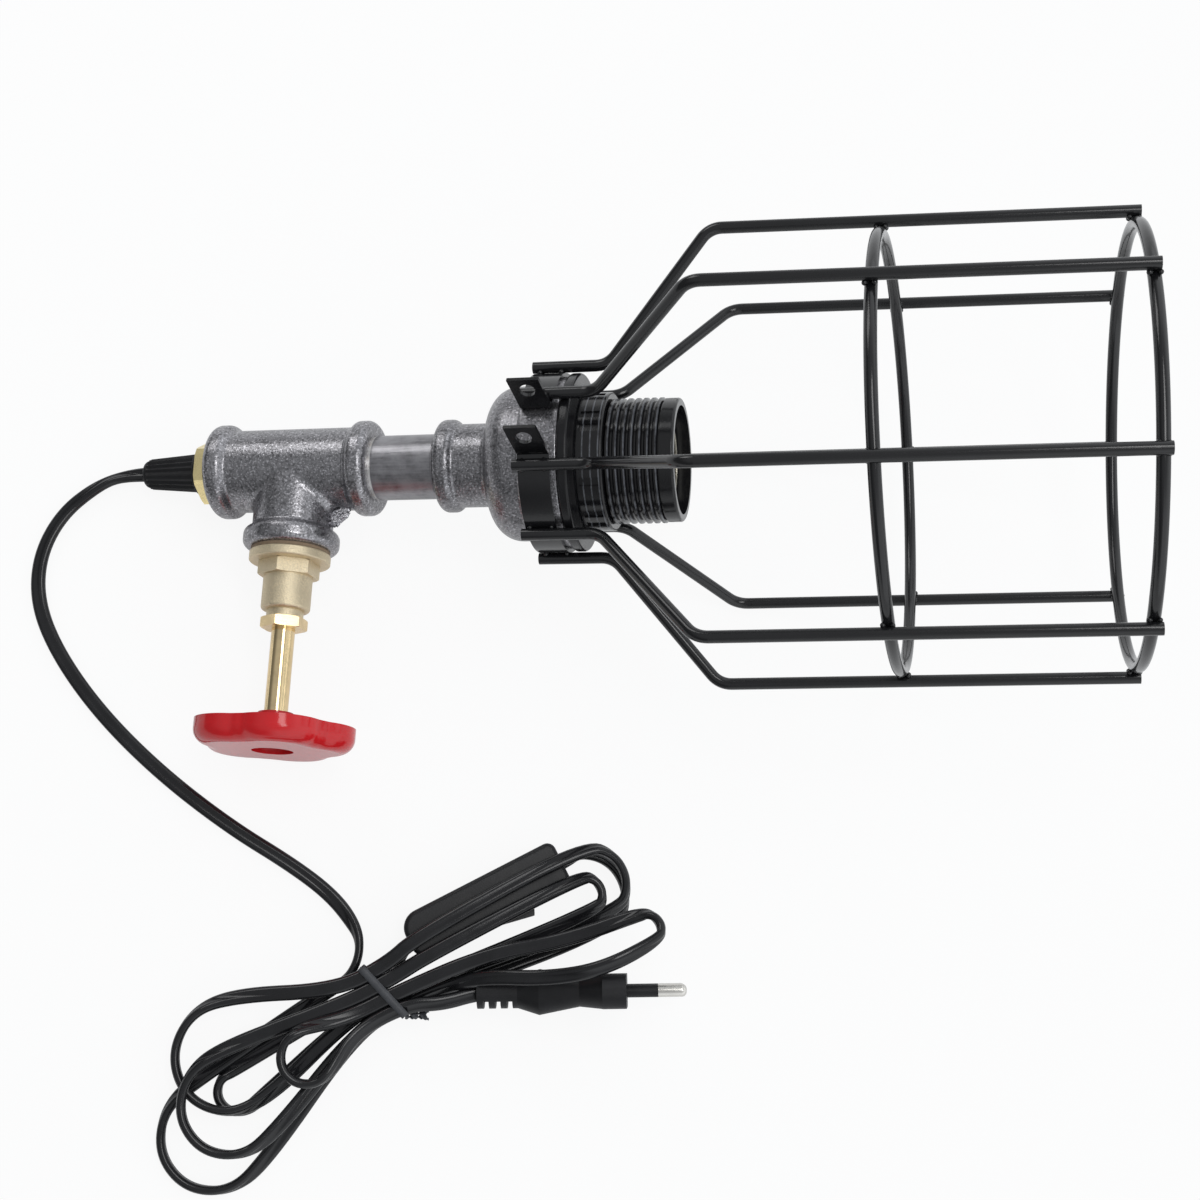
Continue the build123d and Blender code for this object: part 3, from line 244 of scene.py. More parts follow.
class TieSizes(bpy.types.PropertyGroup):
    width: FloatProperty(name="Width", description="Width of the tie", default=2.6 * MM, unit="LENGTH")
    thickness: FloatProperty(
        name="Thickness", description="Thickness of the tie", default=0.7 * MM, unit="LENGTH"
    )
    tail: FloatProperty(
        name="Tail", description="Length of the twisted ends", default=7.5 * MM, unit="LENGTH"
    )
    twists: FloatProperty(name="Twists", description="Turns of the twisted ends", default=1.3)


class BeadSizes(bpy.types.PropertyGroup):
    radius: FloatProperty(
        name="Radius", description="Radius of a weld bead", default=0.8 * MM, unit="LENGTH"
    )
    unevenness: FloatProperty(name="Unevenness", description="Spread of the beads' sizes", default=0.18)
    seed: IntProperty(name="Seed", description="Seed of the beads' sizes", default=7)


class StubSizes(bpy.types.PropertyGroup):
    length: FloatProperty(
        name="Length", description="Length along the corner", default=9.6 * MM, unit="LENGTH"
    )
    depth: FloatProperty(name="Depth", description="Depth into the corner", default=4.6 * MM, unit="LENGTH")
    width: FloatProperty(name="Width", description="Width across the seam", default=3.0 * MM, unit="LENGTH")
    lumps: FloatProperty(name="Lumps", description="Height of its lumps", default=0.95 * MM, unit="LENGTH")


class FinishColours(bpy.types.PropertyGroup):
    casting: FloatVectorProperty(
        name="Casting", description="Grey of the cast fittings", subtype="COLOR", default=(0.3, 0.295, 0.31)
    )
    brass: FloatVectorProperty(
        name="Brass", description="Yellow of the turned brass", subtype="COLOR", default=(0.88, 0.69, 0.4)
    )
    sand_brass: FloatVectorProperty(
        name="Cast brass",
        description="Dull yellow of the cast brass",
        subtype="COLOR",
        default=(0.9, 0.77, 0.54),
    )
    wheel: FloatVectorProperty(
        name="Wheel", description="Red of the handwheel", subtype="COLOR", default=(0.52, 0.012, 0.016)
    )
    black: FloatVectorProperty(
        name="Black",
        description="Black of the cage and the plastic",
        subtype="COLOR",
        default=(0.008, 0.008, 0.009),
    )


class StageValues(bpy.types.PropertyGroup):
    camera_place: FloatVectorProperty(
        name="Camera",
        description="Place of the camera",
        subtype="TRANSLATION",
        default=(-0.06324, -0.14732, 0.55235),
    )
    camera_turn: FloatVectorProperty(
        name="Camera turn",
        description="Turn of the camera",
        subtype="EULER",
        default=(math.radians(12.667), math.radians(-6.317), math.radians(2.106)),
    )
    lens: FloatProperty(name="Lens", description="Focal length of the camera", default=48.9, unit="CAMERA")
    key: FloatProperty(name="Key light", description="Power of the key light", default=2.0, unit="POWER")
    back: FloatProperty(name="Back light", description="Power of the back light", default=1.4, unit="POWER")
    window: FloatProperty(name="Window", description="Strength of the light from the right", default=1.15)
    sky: FloatProperty(name="Sky", description="Strength of the light from above", default=0.5)
    room: FloatProperty(name="Room", description="Strength of the light from low on the left", default=0.18)
    floor: FloatVectorProperty(
        name="Floor", description="White of the table", subtype="COLOR", default=(0.86, 0.87, 0.88)
    )


class Shade:
    """A shader value: an expression on it adds its Math nodes."""

    def __init__(self, paint, socket):
        self.paint = paint
        self.socket = socket

    def reckon(self, operation, first, second):
        """The result of one Math node."""
        node = self.paint.node("ShaderNodeMath", {"operation": operation}, {0: first, 1: second})
        return Shade(self.paint, node.outputs[0])

    def __add__(self, other):
        return self.reckon("ADD", self, other)

    def __sub__(self, other):
        return self.reckon("SUBTRACT", self, other)

    def __rsub__(self, other):
        return self.reckon("SUBTRACT", other, self)

    def __mul__(self, other):
        return self.reckon("MULTIPLY", self, other)

    def __mod__(self, other):
        return self.reckon("FLOORED_MODULO", self, other)

    def __rmod__(self, other):
        return self.reckon("FLOORED_MODULO", other, self)

    def __abs__(self):
        return self.reckon("ABSOLUTE", self, 0.0)

    __radd__ = __add__
    __rmul__ = __mul__


class Paint:
    """A material with its shader, and the one method that adds a node."""

    def __init__(self, name):
        self.material = bpy.data.materials.new(name)
        self.material.use_nodes = True
        self.tree = self.material.node_tree
        self.shader = self.tree.nodes["Principled BSDF"]
        self.place = self.node("ShaderNodeTexCoord", {}, {}).outputs["Object"]

    def node(self, kind, settings, sockets):
        """A node of a kind, with its settings made first and its sockets fed."""
        node = self.tree.nodes.new(kind)
        for key, value in settings.items():
            setattr(node, key, value)
        for key, value in sockets.items():
            self.feed(node.inputs[key], value)
        return node

    def feed(self, socket, value):
        """Link a socket to a value, or set it to a number or a colour."""
        if isinstance(value, Shade):
            value = value.socket
        if isinstance(value, bpy.types.NodeSocket):
            self.tree.links.new(value, socket)
        elif isinstance(socket.default_value, (float, int)):
            socket.default_value = value
        else:
            value = tuple(value)
            socket.default_value = value + (1.0,) * (len(socket.default_value) - len(value))

    def stretched(self, scale, turn=(0.0, 0.0, 0.0)):
        """The place on the piece, turned and then scaled."""
        turned = self.node("ShaderNodeMapping", {}, {"Vector": self.place, "Rotation": turn})
        return self.node("ShaderNodeMapping", {}, {"Vector": turned.outputs[0], "Scale": scale}).outputs[0]

    def noise(self, scale, detail, roughness=0.5, place=None):
        """Noise over the piece, or over another place that is given."""
        sockets = {"Vector": place or self.place, "Scale": scale, "Detail": detail, "Roughness": roughness}
        return Shade(self, self.node("ShaderNodeTexNoise", {}, sockets).outputs["Fac"])

    def between(self, value, low, high):
        """The value stretched so that low becomes 0 and high becomes 1."""
        sockets = {"Value": value, "From Min": low, "From Max": high}
        return Shade(self, self.node("ShaderNodeMapRange", {}, sockets).outputs[0])

    def mix(self, factor, first, second):
        """A colour between two others."""
        node = self.node("ShaderNodeMix", {"data_type": "RGBA"}, {0: factor, 6: first, 7: second})
        return node.outputs[2]

    def bump(self, height, distance, strength, under=None):
        """A surface raised by a height, over another such surface if there is one."""
        sockets = {"Height": height, "Distance": distance, "Strength": strength}
        if under:
            sockets["Normal"] = under
        return self.node("ShaderNodeBump", {}, sockets).outputs[0]

    def finish(self, **sockets):
        """The material, once its shader's sockets are fed."""
        for key, value in sockets.items():
            self.feed(self.shader.inputs[key.replace("_", " ")], value)
        return self.material


def shaded(colour, share):
    """A colour made darker or paler."""
    return tuple(channel * share for channel in colour)


def cast_finish(name, colour, grain_depth):
    """Malleable iron as it comes from the sand: fine grain with painted bright glints, soft hollows, dark
    pits.
    """
    paint = Paint(name)
    swell = paint.noise(scale=85.0, detail=3.0)
    grain = paint.noise(scale=1150.0, detail=2.0, roughness=0.55)
    # Painted glints: bright specks in the colour that stand in for light caught by the grain.
    painted_glint = paint.between(paint.noise(scale=1700.0, detail=1.0), 0.57, 0.67)
    pit = paint.between(paint.noise(scale=950.0, detail=1.0), 0.3, 0.4)
    tone = paint.mix(paint.between(swell, 0.3, 0.7), shaded(colour, 0.9), shaded(colour, 1.1))
    tone = paint.mix(paint.between(grain, 0.36, 0.6), shaded(colour, 0.62), tone)
    tone = paint.mix(painted_glint * 0.7, tone, shaded(colour, 2.3))
    tone = paint.mix(pit, shaded(colour, 0.5), tone)
    hollow = paint.bump(swell, distance=0.5 * MM, strength=0.3)
    surface = paint.bump(grain, distance=grain_depth, strength=0.7, under=hollow)
    return paint.finish(Base_Color=tone, Metallic=0.92, Roughness=grain * 0.2 + 0.2, Normal=surface)


def lamp_along(paint):
    """How far a point lies along the lamp's axis from the tee's centre."""
    level = paint.stretched((1.0, 1.0, 1.0), (0.0, LAMP_TILT, 0.0))
    split = paint.node("ShaderNodeSeparateXYZ", {}, {0: level})
    return Shade(paint, split.outputs[0]) - (LAMP_TURN.transposed() @ TEE_CENTRE).x


def pipe_finish(name, colour):
    """Drawn steel pipe: streaks along it, a thin dark film and bright cut ends of its threads."""
    paint = Paint(name)
    drawn = paint.stretched((60.0, 900.0, 900.0), (0.0, LAMP_TILT, 0.0))
    streak = paint.noise(scale=1.0, detail=3.0, roughness=0.6, place=drawn)
    film = paint.noise(scale=150.0, detail=5.0, roughness=0.65)
    off_middle = lamp_along(paint) - (PIPE_START + PIPE_END) / 2
    reach = (PIPE_END - PIPE_START) / 2
    cut = paint.between(abs(off_middle), reach - CUT_WIDTH, reach - CUT_FULL)
    rust = paint.between(paint.noise(scale=420.0, detail=3.0), 0.5, 0.72)
    tone = paint.mix(paint.between(film, 0.35, 0.65), shaded(colour, 0.6), shaded(colour, 1.35))
    tone = paint.mix(paint.between(streak, 0.3, 0.7) * 0.6, tone, shaded(colour, 1.6))
    bright = paint.mix(rust * 0.35, (0.9, 0.89, 0.87), (0.4, 0.3, 0.2))
    tone = paint.mix(cut, tone, bright)
    surface = paint.bump(streak, distance=0.1 * MM, strength=0.5)
    return paint.finish(Base_Color=tone, Metallic=0.9, Roughness=film * 0.25 + 0.2, Normal=surface)


def turned_brass_finish(name, colour, roughness):
    """Turned brass: tool rings across the branch and a faint stain."""
    paint = Paint(name)
    across = paint.stretched((60.0, 3200.0, 60.0))
    ring = paint.noise(scale=1.0, detail=2.0, roughness=0.5, place=across)
    stain = paint.noise(scale=160.0, detail=4.0, roughness=0.6)
    tone = paint.mix(paint.between(stain, 0.4, 0.75) * 0.7, colour, shaded(colour, 0.68))
    surface = paint.bump(ring, distance=0.05 * MM, strength=0.5)
    return paint.finish(Base_Color=tone, Metallic=1.0, Roughness=stain * 0.12 + roughness, Normal=surface)


def cast_brass_finish(name, colour):
    """Sand cast brass: dull, grainy, a little darker in its hollows."""
    paint = Paint(name)
    grain = paint.noise(scale=1700.0, detail=4.0, roughness=0.65)
    cloud = paint.noise(scale=140.0, detail=4.0, roughness=0.55)
    tone = paint.mix(paint.between(cloud, 0.3, 0.7), shaded(colour, 0.8), shaded(colour, 1.25))
    tone = paint.mix(paint.between(grain, 0.4, 0.7) * 0.5, shaded(colour, 0.72), tone)
    surface = paint.bump(grain, distance=0.22 * MM, strength=0.7)
    return paint.finish(Base_Color=tone, Metallic=0.85, Roughness=grain * 0.2 + 0.36, Normal=surface)


def gloss_paint_finish(name, colour, roughness, peel, coat, shine):
    """Sprayed gloss paint: orange peel, dust and thin spots."""
    paint = Paint(name)
    swell = paint.noise(scale=420.0, detail=2.0)
    dust = paint.noise(scale=3000.0, detail=3.0, roughness=0.6)
    cloud = paint.noise(scale=60.0, detail=3.0)
    tone = paint.mix(paint.between(cloud, 0.3, 0.7), shaded(colour, 0.86), shaded(colour, 1.16))
    tone = paint.mix(paint.between(dust, 0.68, 0.8) * 0.3, tone, shaded(colour, 1.8))
    surface = paint.bump(swell, distance=peel, strength=0.5)
    return paint.finish(
        Base_Color=tone,
        Roughness=dust * 0.12 + roughness,
        Normal=surface,
        Specular_IOR_Level=shine,
        Coat_Weight=coat,
        Coat_Roughness=0.1,
    )


def moulded_finish(name, colour, roughness):
    """Moulded black plastic: spark-eroded grain with handling marks."""
    paint = Paint(name)
    grain = paint.noise(scale=2400.0, detail=3.0, roughness=0.6)
    rub = paint.noise(scale=130.0, detail=5.0, roughness=0.65)
    tone = paint.mix(paint.between(rub, 0.4, 0.75) * 0.6, colour, shaded(colour, 1.9))
    surface = paint.bump(grain, distance=0.06 * MM, strength=0.6)
    gloss = rub * 0.18 + roughness
    return paint.finish(Base_Color=tone, Roughness=gloss, Normal=surface, Specular_IOR_Level=0.28)


def skirt_finish(name, colour, roughness):
    """Moulded black skirt with a painted highlight: a pale line along each crest of its thread."""
    paint = Paint(name)
    grain = paint.noise(scale=2400.0, detail=3.0, roughness=0.6)
    rub = paint.noise(scale=260.0, detail=4.0, roughness=0.6)
    turns = (lamp_along(paint) - SKIRT_THREAD_END) * (1 / SKIRT_PITCH)
    share = turns % 1.0
    near = share.reckon("COMPARE", share, CREST_HIGHLIGHT_AT)
    near.socket.node.inputs[2].default_value = CREST_HIGHLIGHT_HALF
    ringed = turns.reckon("LESS_THAN", turns, 0.0)
    # Painted highlight: a pale line along one side of each crest of the thread, broken up in patches.
    crest_highlight = near * ringed * paint.between(rub, 0.3, 0.55)
    tone = paint.mix(crest_highlight * 0.8, colour, (0.13, 0.135, 0.15))
    surface = paint.bump(grain, distance=0.04 * MM, strength=0.5)
    gloss = rub * 0.12 + roughness
    return paint.finish(Base_Color=tone, Roughness=gloss, Normal=surface, Specular_IOR_Level=0.4)


def cord_finish(name, colour):
    """Glossy sheath: faint draw lines along the cord, rubbed and dusty in patches."""
    paint = Paint(name)
    run = paint.node("ShaderNodeUVMap", {"uv_map": "run"}, {}).outputs[0]
    lines = paint.node("ShaderNodeMapping", {}, {"Vector": run, "Scale": (30.0, 26.0, 1.0)}).outputs[0]
    draw = paint.noise(scale=1.0, detail=3.0, roughness=0.6, place=lines)
    rub = paint.noise(scale=90.0, detail=5.0, roughness=0.65)
    dust = paint.between(paint.noise(scale=2200.0, detail=2.0), 0.62, 0.8)
    tone = paint.mix(paint.between(rub, 0.4, 0.75) * 0.7, colour, shaded(colour, 2.0))
    tone = paint.mix(dust * 0.3, tone, shaded(colour, 5.0))
    surface = paint.bump(draw, distance=0.05 * MM, strength=0.5)
    gloss = rub * 0.14 + 0.08
    return paint.finish(Base_Color=tone, Roughness=gloss, Normal=surface, Specular_IOR_Level=0.38)


def plated_finish(name, colour, roughness):
    """Plated metal with fine draw marks."""
    paint = Paint(name)
    marks = paint.noise(scale=1900.0, detail=3.0, roughness=0.6, place=paint.stretched((0.15, 1.0, 1.0)))
    cloud = paint.noise(scale=200.0, detail=3.0)
    tone = paint.mix(paint.between(cloud, 0.35, 0.7), shaded(colour, 0.85), colour)
    surface = paint.bump(marks, distance=0.04 * MM, strength=0.5)
    return paint.finish(Base_Color=tone, Metallic=1.0, Roughness=cloud * 0.15 + roughness, Normal=surface)


def plain_finish(name, colour, roughness):
    """Matte washers and insulation."""
    paint = Paint(name)
    grain = paint.noise(scale=1200.0, detail=4.0, roughness=0.6)
    tone = paint.mix(paint.between(grain, 0.35, 0.7), shaded(colour, 0.8), colour)
    surface = paint.bump(grain, distance=0.05 * MM, strength=0.5)
    return paint.finish(Base_Color=tone, Roughness=grain * 0.1 + roughness, Normal=surface)


def dress(material, *nodes):
    """Give solids a material."""
    for name in nodes:
        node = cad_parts[name]
        if not node.material_slots:
            node.data.materials.append(material)
        for slot in node.material_slots:
            slot.material = material


def new_piece(name, mesh, material, body=LAMP_BODY):
    """A finished piece at the origin that rides on a body."""
    piece = bpy.data.objects.new(name, mesh)
    bpy.context.scene.collection.objects.link(piece)
    mesh.materials.clear()
    mesh.materials.append(material)
    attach(piece, body)
    return piece


def smooth(mesh):
    """Shade a mesh smoothly."""
    mesh.polygons.foreach_set("use_smooth", [True] * len(mesh.polygons))
    mesh.update()


def spline_points(name, points, steps):
    """Points along a NURBS spline of order 3 whose control points are given."""
    curve = bpy.data.curves.new(name, "CURVE")
    curve.dimensions = "3D"
    curve.resolution_u = steps
    spline = curve.splines.new("NURBS")
    spline.points.add(len(points) - 1)
    for control, point in zip(spline.points, points):
        control.co = (*point, 1.0)
    spline.order_u = 3
    spline.use_endpoint_u = True
    holder = bpy.data.objects.new(name, curve)
    bpy.context.scene.collection.objects.link(holder)
    line = bpy.data.meshes.new_from_object(holder)
    found = [vertex.co.copy() for vertex in line.vertices]
    bpy.data.objects.remove(holder)
    bpy.data.curves.remove(curve)
    bpy.data.meshes.remove(line)
    return found


def loop_corners(middle, half, fan, heights, way, angles):
    """Corner points round a loop's end, from its near side to its far side."""
    turn = math.radians(fan)
    out = (math.cos(turn), math.sin(turn))
    square = (-out[1], out[0])
    first, top, last = heights
    corners = []
    for angle in angles:
        ahead = CORNER_REACH * half * math.cos(math.radians(angle))
        aside = CORNER_REACH * half * math.sin(math.radians(angle))
        share = abs(angle) / 90.0
        height = top + ((first if angle < 0 else last) - top) * share
        along = middle[0] + way * (ahead * out[0] + aside * square[0])
        across = middle[1] + way * (ahead * out[1] + aside * square[1])
        corners.append(waist_place(along, across, height))
    return corners


def left_loop(number, layer):
    """A loop to the left of the waist, on a layer of strands above the table."""
    turn = math.radians(LEFT_FANS[number])
    reach = LEFT_HALVES[number] - LEFT_REACHES[number]
    middle = (reach * math.cos(turn), reach * math.sin(turn))
    height = FLOOR_HEIGHT + layer * STRAND_PITCH
    return loop_corners(middle, LEFT_HALVES[number], LEFT_FANS[number], (height,) * 3, -1, LEFT_CORNERS)


def right_loop(number):
    """A loop to the right of the waist."""
    middle = (RIGHT_ALONGS[number], RIGHT_ACROSSES[number])
    half, fan, heights = RIGHT_HALVES[number], RIGHT_FANS[number], RIGHT_HEIGHTS[number]
    return loop_corners(middle, half, fan, heights, 1, RIGHT_CORNERS)


def waist_run(column, row, way):
    """The two ends of a strand's run through the tie, to the right or to the left."""
    across = (column - COLUMN_MIDDLE) * STRAND_PITCH
    height = WAIST_HEIGHT + row * STRAND_PITCH
    return [waist_place(end * way * WAIST_HALF, across, height) for end in (-1, 1)]


def lead_points():
    """From the cord grip over the table into the hank, once round, and into the switch."""
    points = [Vector(place) * MM for place in LEAD_FALL]
    points += [Vector((*place, FLOOR_HEIGHT)) * MM for place in LEAD_FLOOR]
    points += [waist_place(along, across, FLOOR_HEIGHT) for along, across in LEAD_TURNS]
    points += left_loop(0, 0) + waist_run(0, 0, 1)
    points += right_loop(0)
    for along in (SWITCH_END + SWITCH_STRAIGHT, SWITCH_END - SWITCH_DEPTH):
        points.append(waist_place(along, SWITCH_ACROSS, SWITCH_CORD_HEIGHT))
    return points


def hank_points():
    """From the switch round the rest of the hank and into the plug."""
    ends = (SWITCH_START + SWITCH_DEPTH, SWITCH_START - SWITCH_STRAIGHT)
    points = [waist_place(along, SWITCH_ACROSS, SWITCH_CORD_HEIGHT) for along in ends]
    over = [
        waist_place(SWITCH_START + OVER_SWITCH_FROM, across, OVER_SWITCH) for across in OVER_SWITCH_ACROSSES
    ]
    points += waist_run(2, 0, -1) + left_loop(1, 0) + waist_run(1, 0, 1)
    points += right_loop(1) + [over[0]]
    points += waist_run(3, 2, -1) + left_loop(2, 1) + waist_run(1, 1, 1)
    points += right_loop(2) + [over[1]]
    points += waist_run(2, 2, -1) + left_loop(3, 2) + waist_run(0, 1, 1)
    points += [waist_place(*place) for place in PLUG_STRAND]
    points += right_loop(3)
    points += [waist_place(*place) for place in BACK_STRAND]
    points += waist_run(1, 2, -1) + left_loop(4, 3) + waist_run(0, 2, 1)
    points.append(waist_place(*PLUG_TAIL))
    points += [PLUG_ENTRY, PLUG_ENTRY + PLUG_HEADING * PLUG_CORD_DEPTH]
    return points


def squared(share, power):
    """A share from -1 to 1 raised to a power, with its sign kept."""
    return math.copysign(abs(share) ** power, share)


def cord_outline(sizes):
    """The flat cord's outline: two round cores side by side with a groove between them."""
    core = sizes.thickness / 2
    spread = sizes.width / 2 - core
    outline = []
    for step in range(OUTLINE_POINTS):
        turn = 2 * math.pi * step / OUTLINE_POINTS
        across = spread * squared(math.cos(turn), OUTLINE_SIDE_POWER) + core * math.cos(turn)
        rise = core * squared(math.sin(turn), OUTLINE_FACE_POWER)
        rise *= 1 - sizes.groove / core * math.exp(-((across / GROOVE_WIDTH) ** 2))
        outline.append((across, rise))
    return outline


def edge_turns(line):
    """How far the flat cord stands on edge at each point: fully where it bends most."""
    turns = [0.0] * len(line)
    for index in range(2, len(line) - 2):
        before = (line[index] - line[index - 2]).normalized()
        after = (line[index + 2] - line[index]).normalized()
        run = (line[index + 2] - line[index - 2]).length / 2
        bend = before.angle(after, 0.0) / max(run, SHORTEST_RUN)
        turns[index] = min(1.0, max(0.0, (bend - EDGE_BEND_FROM) / EDGE_BEND_SPAN))
    for _ in range(EDGE_PASSES):
        middle = [(a + 2 * b + c) / 4 for a, b, c in zip(turns, turns[1:], turns[2:])]
        turns = [turns[0], *middle, turns[-1]]
    return turns


def heading(line, index):
    """The way a line runs at one of its points."""
    return (line[min(index + 1, len(line) - 1)] - line[max(index - 1, 0)]).normalized()


def sweep_cord(name, line, sizes):
    """A closed tube of the flat cord's outline along a line, with a UV map that follows it."""
    outline = cord_outline(sizes)
    count = len(outline)
    turns = edge_turns(line)
    vertices = []
    travelled = [0.0]
    for index, place in enumerate(line):
        ahead = heading(line, index)
        tilt = Matrix.Rotation(turns[index] * math.pi / 2, 3, ahead)
        aside = tilt @ ahead.cross(UP).normalized()
        over = aside.cross(ahead)
        vertices += [place + aside * across + over * rise for across, rise in outline]
        if index:
            travelled.append(travelled[-1] + (place - line[index - 1]).length)
    faces = []
    maps = []
    for ring in range(len(line) - 1):
        for side in range(count):
            after = (side + 1) % count
            base = ring * count
            faces.append((base + side, base + after, base + count + after, base + count + side))
            low, high = side / count, (side + 1) / count
            start, end = travelled[ring], travelled[ring + 1]
            maps += [(start, low), (start, high), (end, high), (end, low)]
    last = (len(line) - 1) * count
    faces.append(tuple(reversed(range(count))))
    faces.append(tuple(range(last, last + count)))
    maps += [(0.0, 0.0)] * (2 * count)
    mesh = bpy.data.meshes.new(name)
    mesh.from_pydata(vertices, [], faces)
    layer = mesh.uv_layers.new(name="run")
    for loop, place in zip(layer.data, maps):
        loop.uv = place
    smooth(mesh)
    return mesh


class PIPELAMP_OT_stage(bpy.types.Operator):
    """Place the camera, the white table and the soft light."""

    bl_idname = "pipelamp.stage"
    bl_label = "Stage"

    def execute(self, context):
        values = context.scene.pipelamp_stage
        data = bpy.data.cameras.new("camera")
        data.lens = values.lens
        data.sensor_width = FILM_WIDTH
        data.clip_start = NEAREST_SEEN
        camera = bpy.data.objects.new("camera", data)
        camera.location = values.camera_place
        camera.rotation_euler = values.camera_turn
        context.scene.collection.objects.link(camera)
        context.scene.camera = camera
        context.scene.view_settings.view_transform = "Standard"
        self.table(context, values)
        self.light(context, "key_light", values.key, KEY_PLACE, KEY_SIZE)
        self.light(context, "back_light", values.back, BACK_PLACE, BACK_SIZE)
        self.sky(context, values)
        return {"FINISHED"}

    def table(self, context, values):
        """A white table that looks white to the camera and in reflections, and takes shadows."""
        mesh = bpy.data.meshes.new("table")
        quarters = ((-1, -1), (1, -1), (1, 1), (-1, 1))
        corners = [(x * TABLE_REACH, y * TABLE_REACH, 0.0) for x, y in quarters]
        mesh.from_pydata(corners, [], [(0, 1, 2, 3)])
        table = bpy.data.objects.new("table", mesh)
        context.scene.collection.objects.link(table)
        paint = Paint("table_white")
        paint.finish(Base_Color=values.floor, Roughness=TABLE_ROUGHNESS)
        ray = paint.node("ShaderNodeLightPath", {}, {}).outputs
        seen = Shade(paint, ray["Is Camera Ray"])
        mirrored = Shade(paint, ray["Is Glossy Ray"])
        shown = seen * SEEN_WHITE + mirrored * MIRRORED_WHITE
        glow = paint.node("ShaderNodeEmission", {}, {"Color": (1.0, 1.0, 1.0), "Strength": 1.0})
        both = paint.node(
            "ShaderNodeMixShader", {}, {0: shown, 1: paint.shader.outputs[0], 2: glow.outputs[0]}
        )
        end = paint.tree.nodes["Material Output"]
        paint.tree.links.new(both.outputs[0], end.inputs["Surface"])
        mesh.materials.append(paint.material)

    def light(self, context, name, power, place, size):
        """A soft light that points at the lamp."""
        data = bpy.data.lights.new(name, "AREA")
        data.energy = power
        data.shape = "RECTANGLE"
        data.size, data.size_y = size
        light = bpy.data.objects.new(name, data)
        light.location = place
        aim = LIGHT_AIM - light.location
        light.rotation_euler = aim.to_track_quat("-Z", "Y").to_euler()
        context.scene.collection.objects.link(light)

    def sky(self, context, values):
        """A wide window on the right, a dimmer ceiling and a dark room low on the left."""
        world = bpy.data.worlds.new("sky")
        world.use_nodes = True
        context.scene.world = world
        nodes, links = world.node_tree.nodes, world.node_tree.links
        back = nodes["Background"]
        way = nodes.new("ShaderNodeTexCoord")
        split = nodes.new("ShaderNodeSeparateXYZ")
        ray = nodes.new("ShaderNodeLightPath")
        links.new(way.outputs["Generated"], split.inputs[0])
        left = self.between(world, split.outputs["Z"], ROOM_SPAN, (values.room, values.sky))
        right = self.between(world, split.outputs["Z"], WINDOW_SPAN, (values.window, values.sky))
        side = self.between(world, split.outputs["X"], SIDE_SPAN, (left, right))
        seen = self.between(world, ray.outputs["Is Camera Ray"], (0.0, 1.0), (side, 1.0))
        links.new(seen, back.inputs["Strength"])
        back.inputs["Color"].default_value = SKY_TINT

    def between(self, world, value, span, ends):
        """A value that goes smoothly from one end to the other over a span."""
        node = world.node_tree.nodes.new("ShaderNodeMapRange")
        node.interpolation_type = "SMOOTHSTEP"
        world.node_tree.links.new(value, node.inputs["Value"])
        for key, number in zip(("From Min", "From Max", "To Min", "To Max"), (*span, *ends)):
            if isinstance(number, bpy.types.NodeSocket):
                world.node_tree.links.new(number, node.inputs[key])
            else:
                node.inputs[key].default_value = number
        return node.outputs["Result"]


class PIPELAMP_OT_cords(bpy.types.Operator):
    """Lay the flat cord from the lamp to the switch and from the switch to the plug."""

    bl_idname = "pipelamp.cords"
    bl_label = "Cords"

    def execute(self, context):
        sizes = context.scene.pipelamp_cord
        colours = context.scene.pipelamp_finish
        sheath = cord_finish("cord_sheath", shaded(colours.black, 1.1))
        lead_line = spline_points("lead_route", lead_points(), sizes.steps)
        lead_mesh = sweep_cord("flat_cord_lead", lead_line, sizes)
        lead = new_piece("flat_cord_lead", lead_mesh, sheath)
        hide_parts("cord_lead", "cord_to_switch")
        hank_line = spline_points("hank_route", hank_points(), sizes.steps)
        hank_mesh = sweep_cord("flat_cord_hank", hank_line, sizes)
        hank = new_piece("flat_cord_hank", hank_mesh, sheath)
        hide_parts("cord_to_plug")
        dress(sheath, "cord_lead", "cord_to_switch", "cord_to_plug", "inner_cable")
        return {"FINISHED"}


class PIPELAMP_OT_stub(bpy.types.Operator):
    """Leave the rough stub of the casting's gate in the corner between the run and the branch."""

    bl_idname = "pipelamp.stub"
    bl_label = "Casting stub"

    def execute(self, context):
        sizes = context.scene.pipelamp_stub
        run = LAMP_TURN @ Vector((1.0, 0.0, 0.0))
        corner = TEE_CENTRE + run * STUB_ALONG + BRANCH_WAY * STUB_OUT
        slope = (run - BRANCH_WAY).normalized()
        outward = (run + BRANCH_WAY).normalized()
        across = slope.cross(outward)
        mesh = bpy.data.meshes.new("casting_stub")
        shape = bmesh.new()
        bmesh.ops.create_icosphere(shape, subdivisions=STUB_DIVISIONS, radius=0.5)
        for vertex in shape.verts:
            way = vertex.co.normalized()
            lump = noise.fractal(way * LUMP_SCALE, LUMP_SMOOTHNESS, LUMP_GAP, LUMP_OCTAVES) * sizes.lumps
            place = slope * (way.x * sizes.length) + outward * (way.y * sizes.depth)
            place += across * (way.z * sizes.width)
            vertex.co = corner + place / 2 + place.normalized() * lump
        shape.to_mesh(mesh)
        shape.free()
        smooth(mesh)
        new_piece("casting_stub", mesh, bpy.data.materials["stub_grey"])
        return {"FINISHED"}


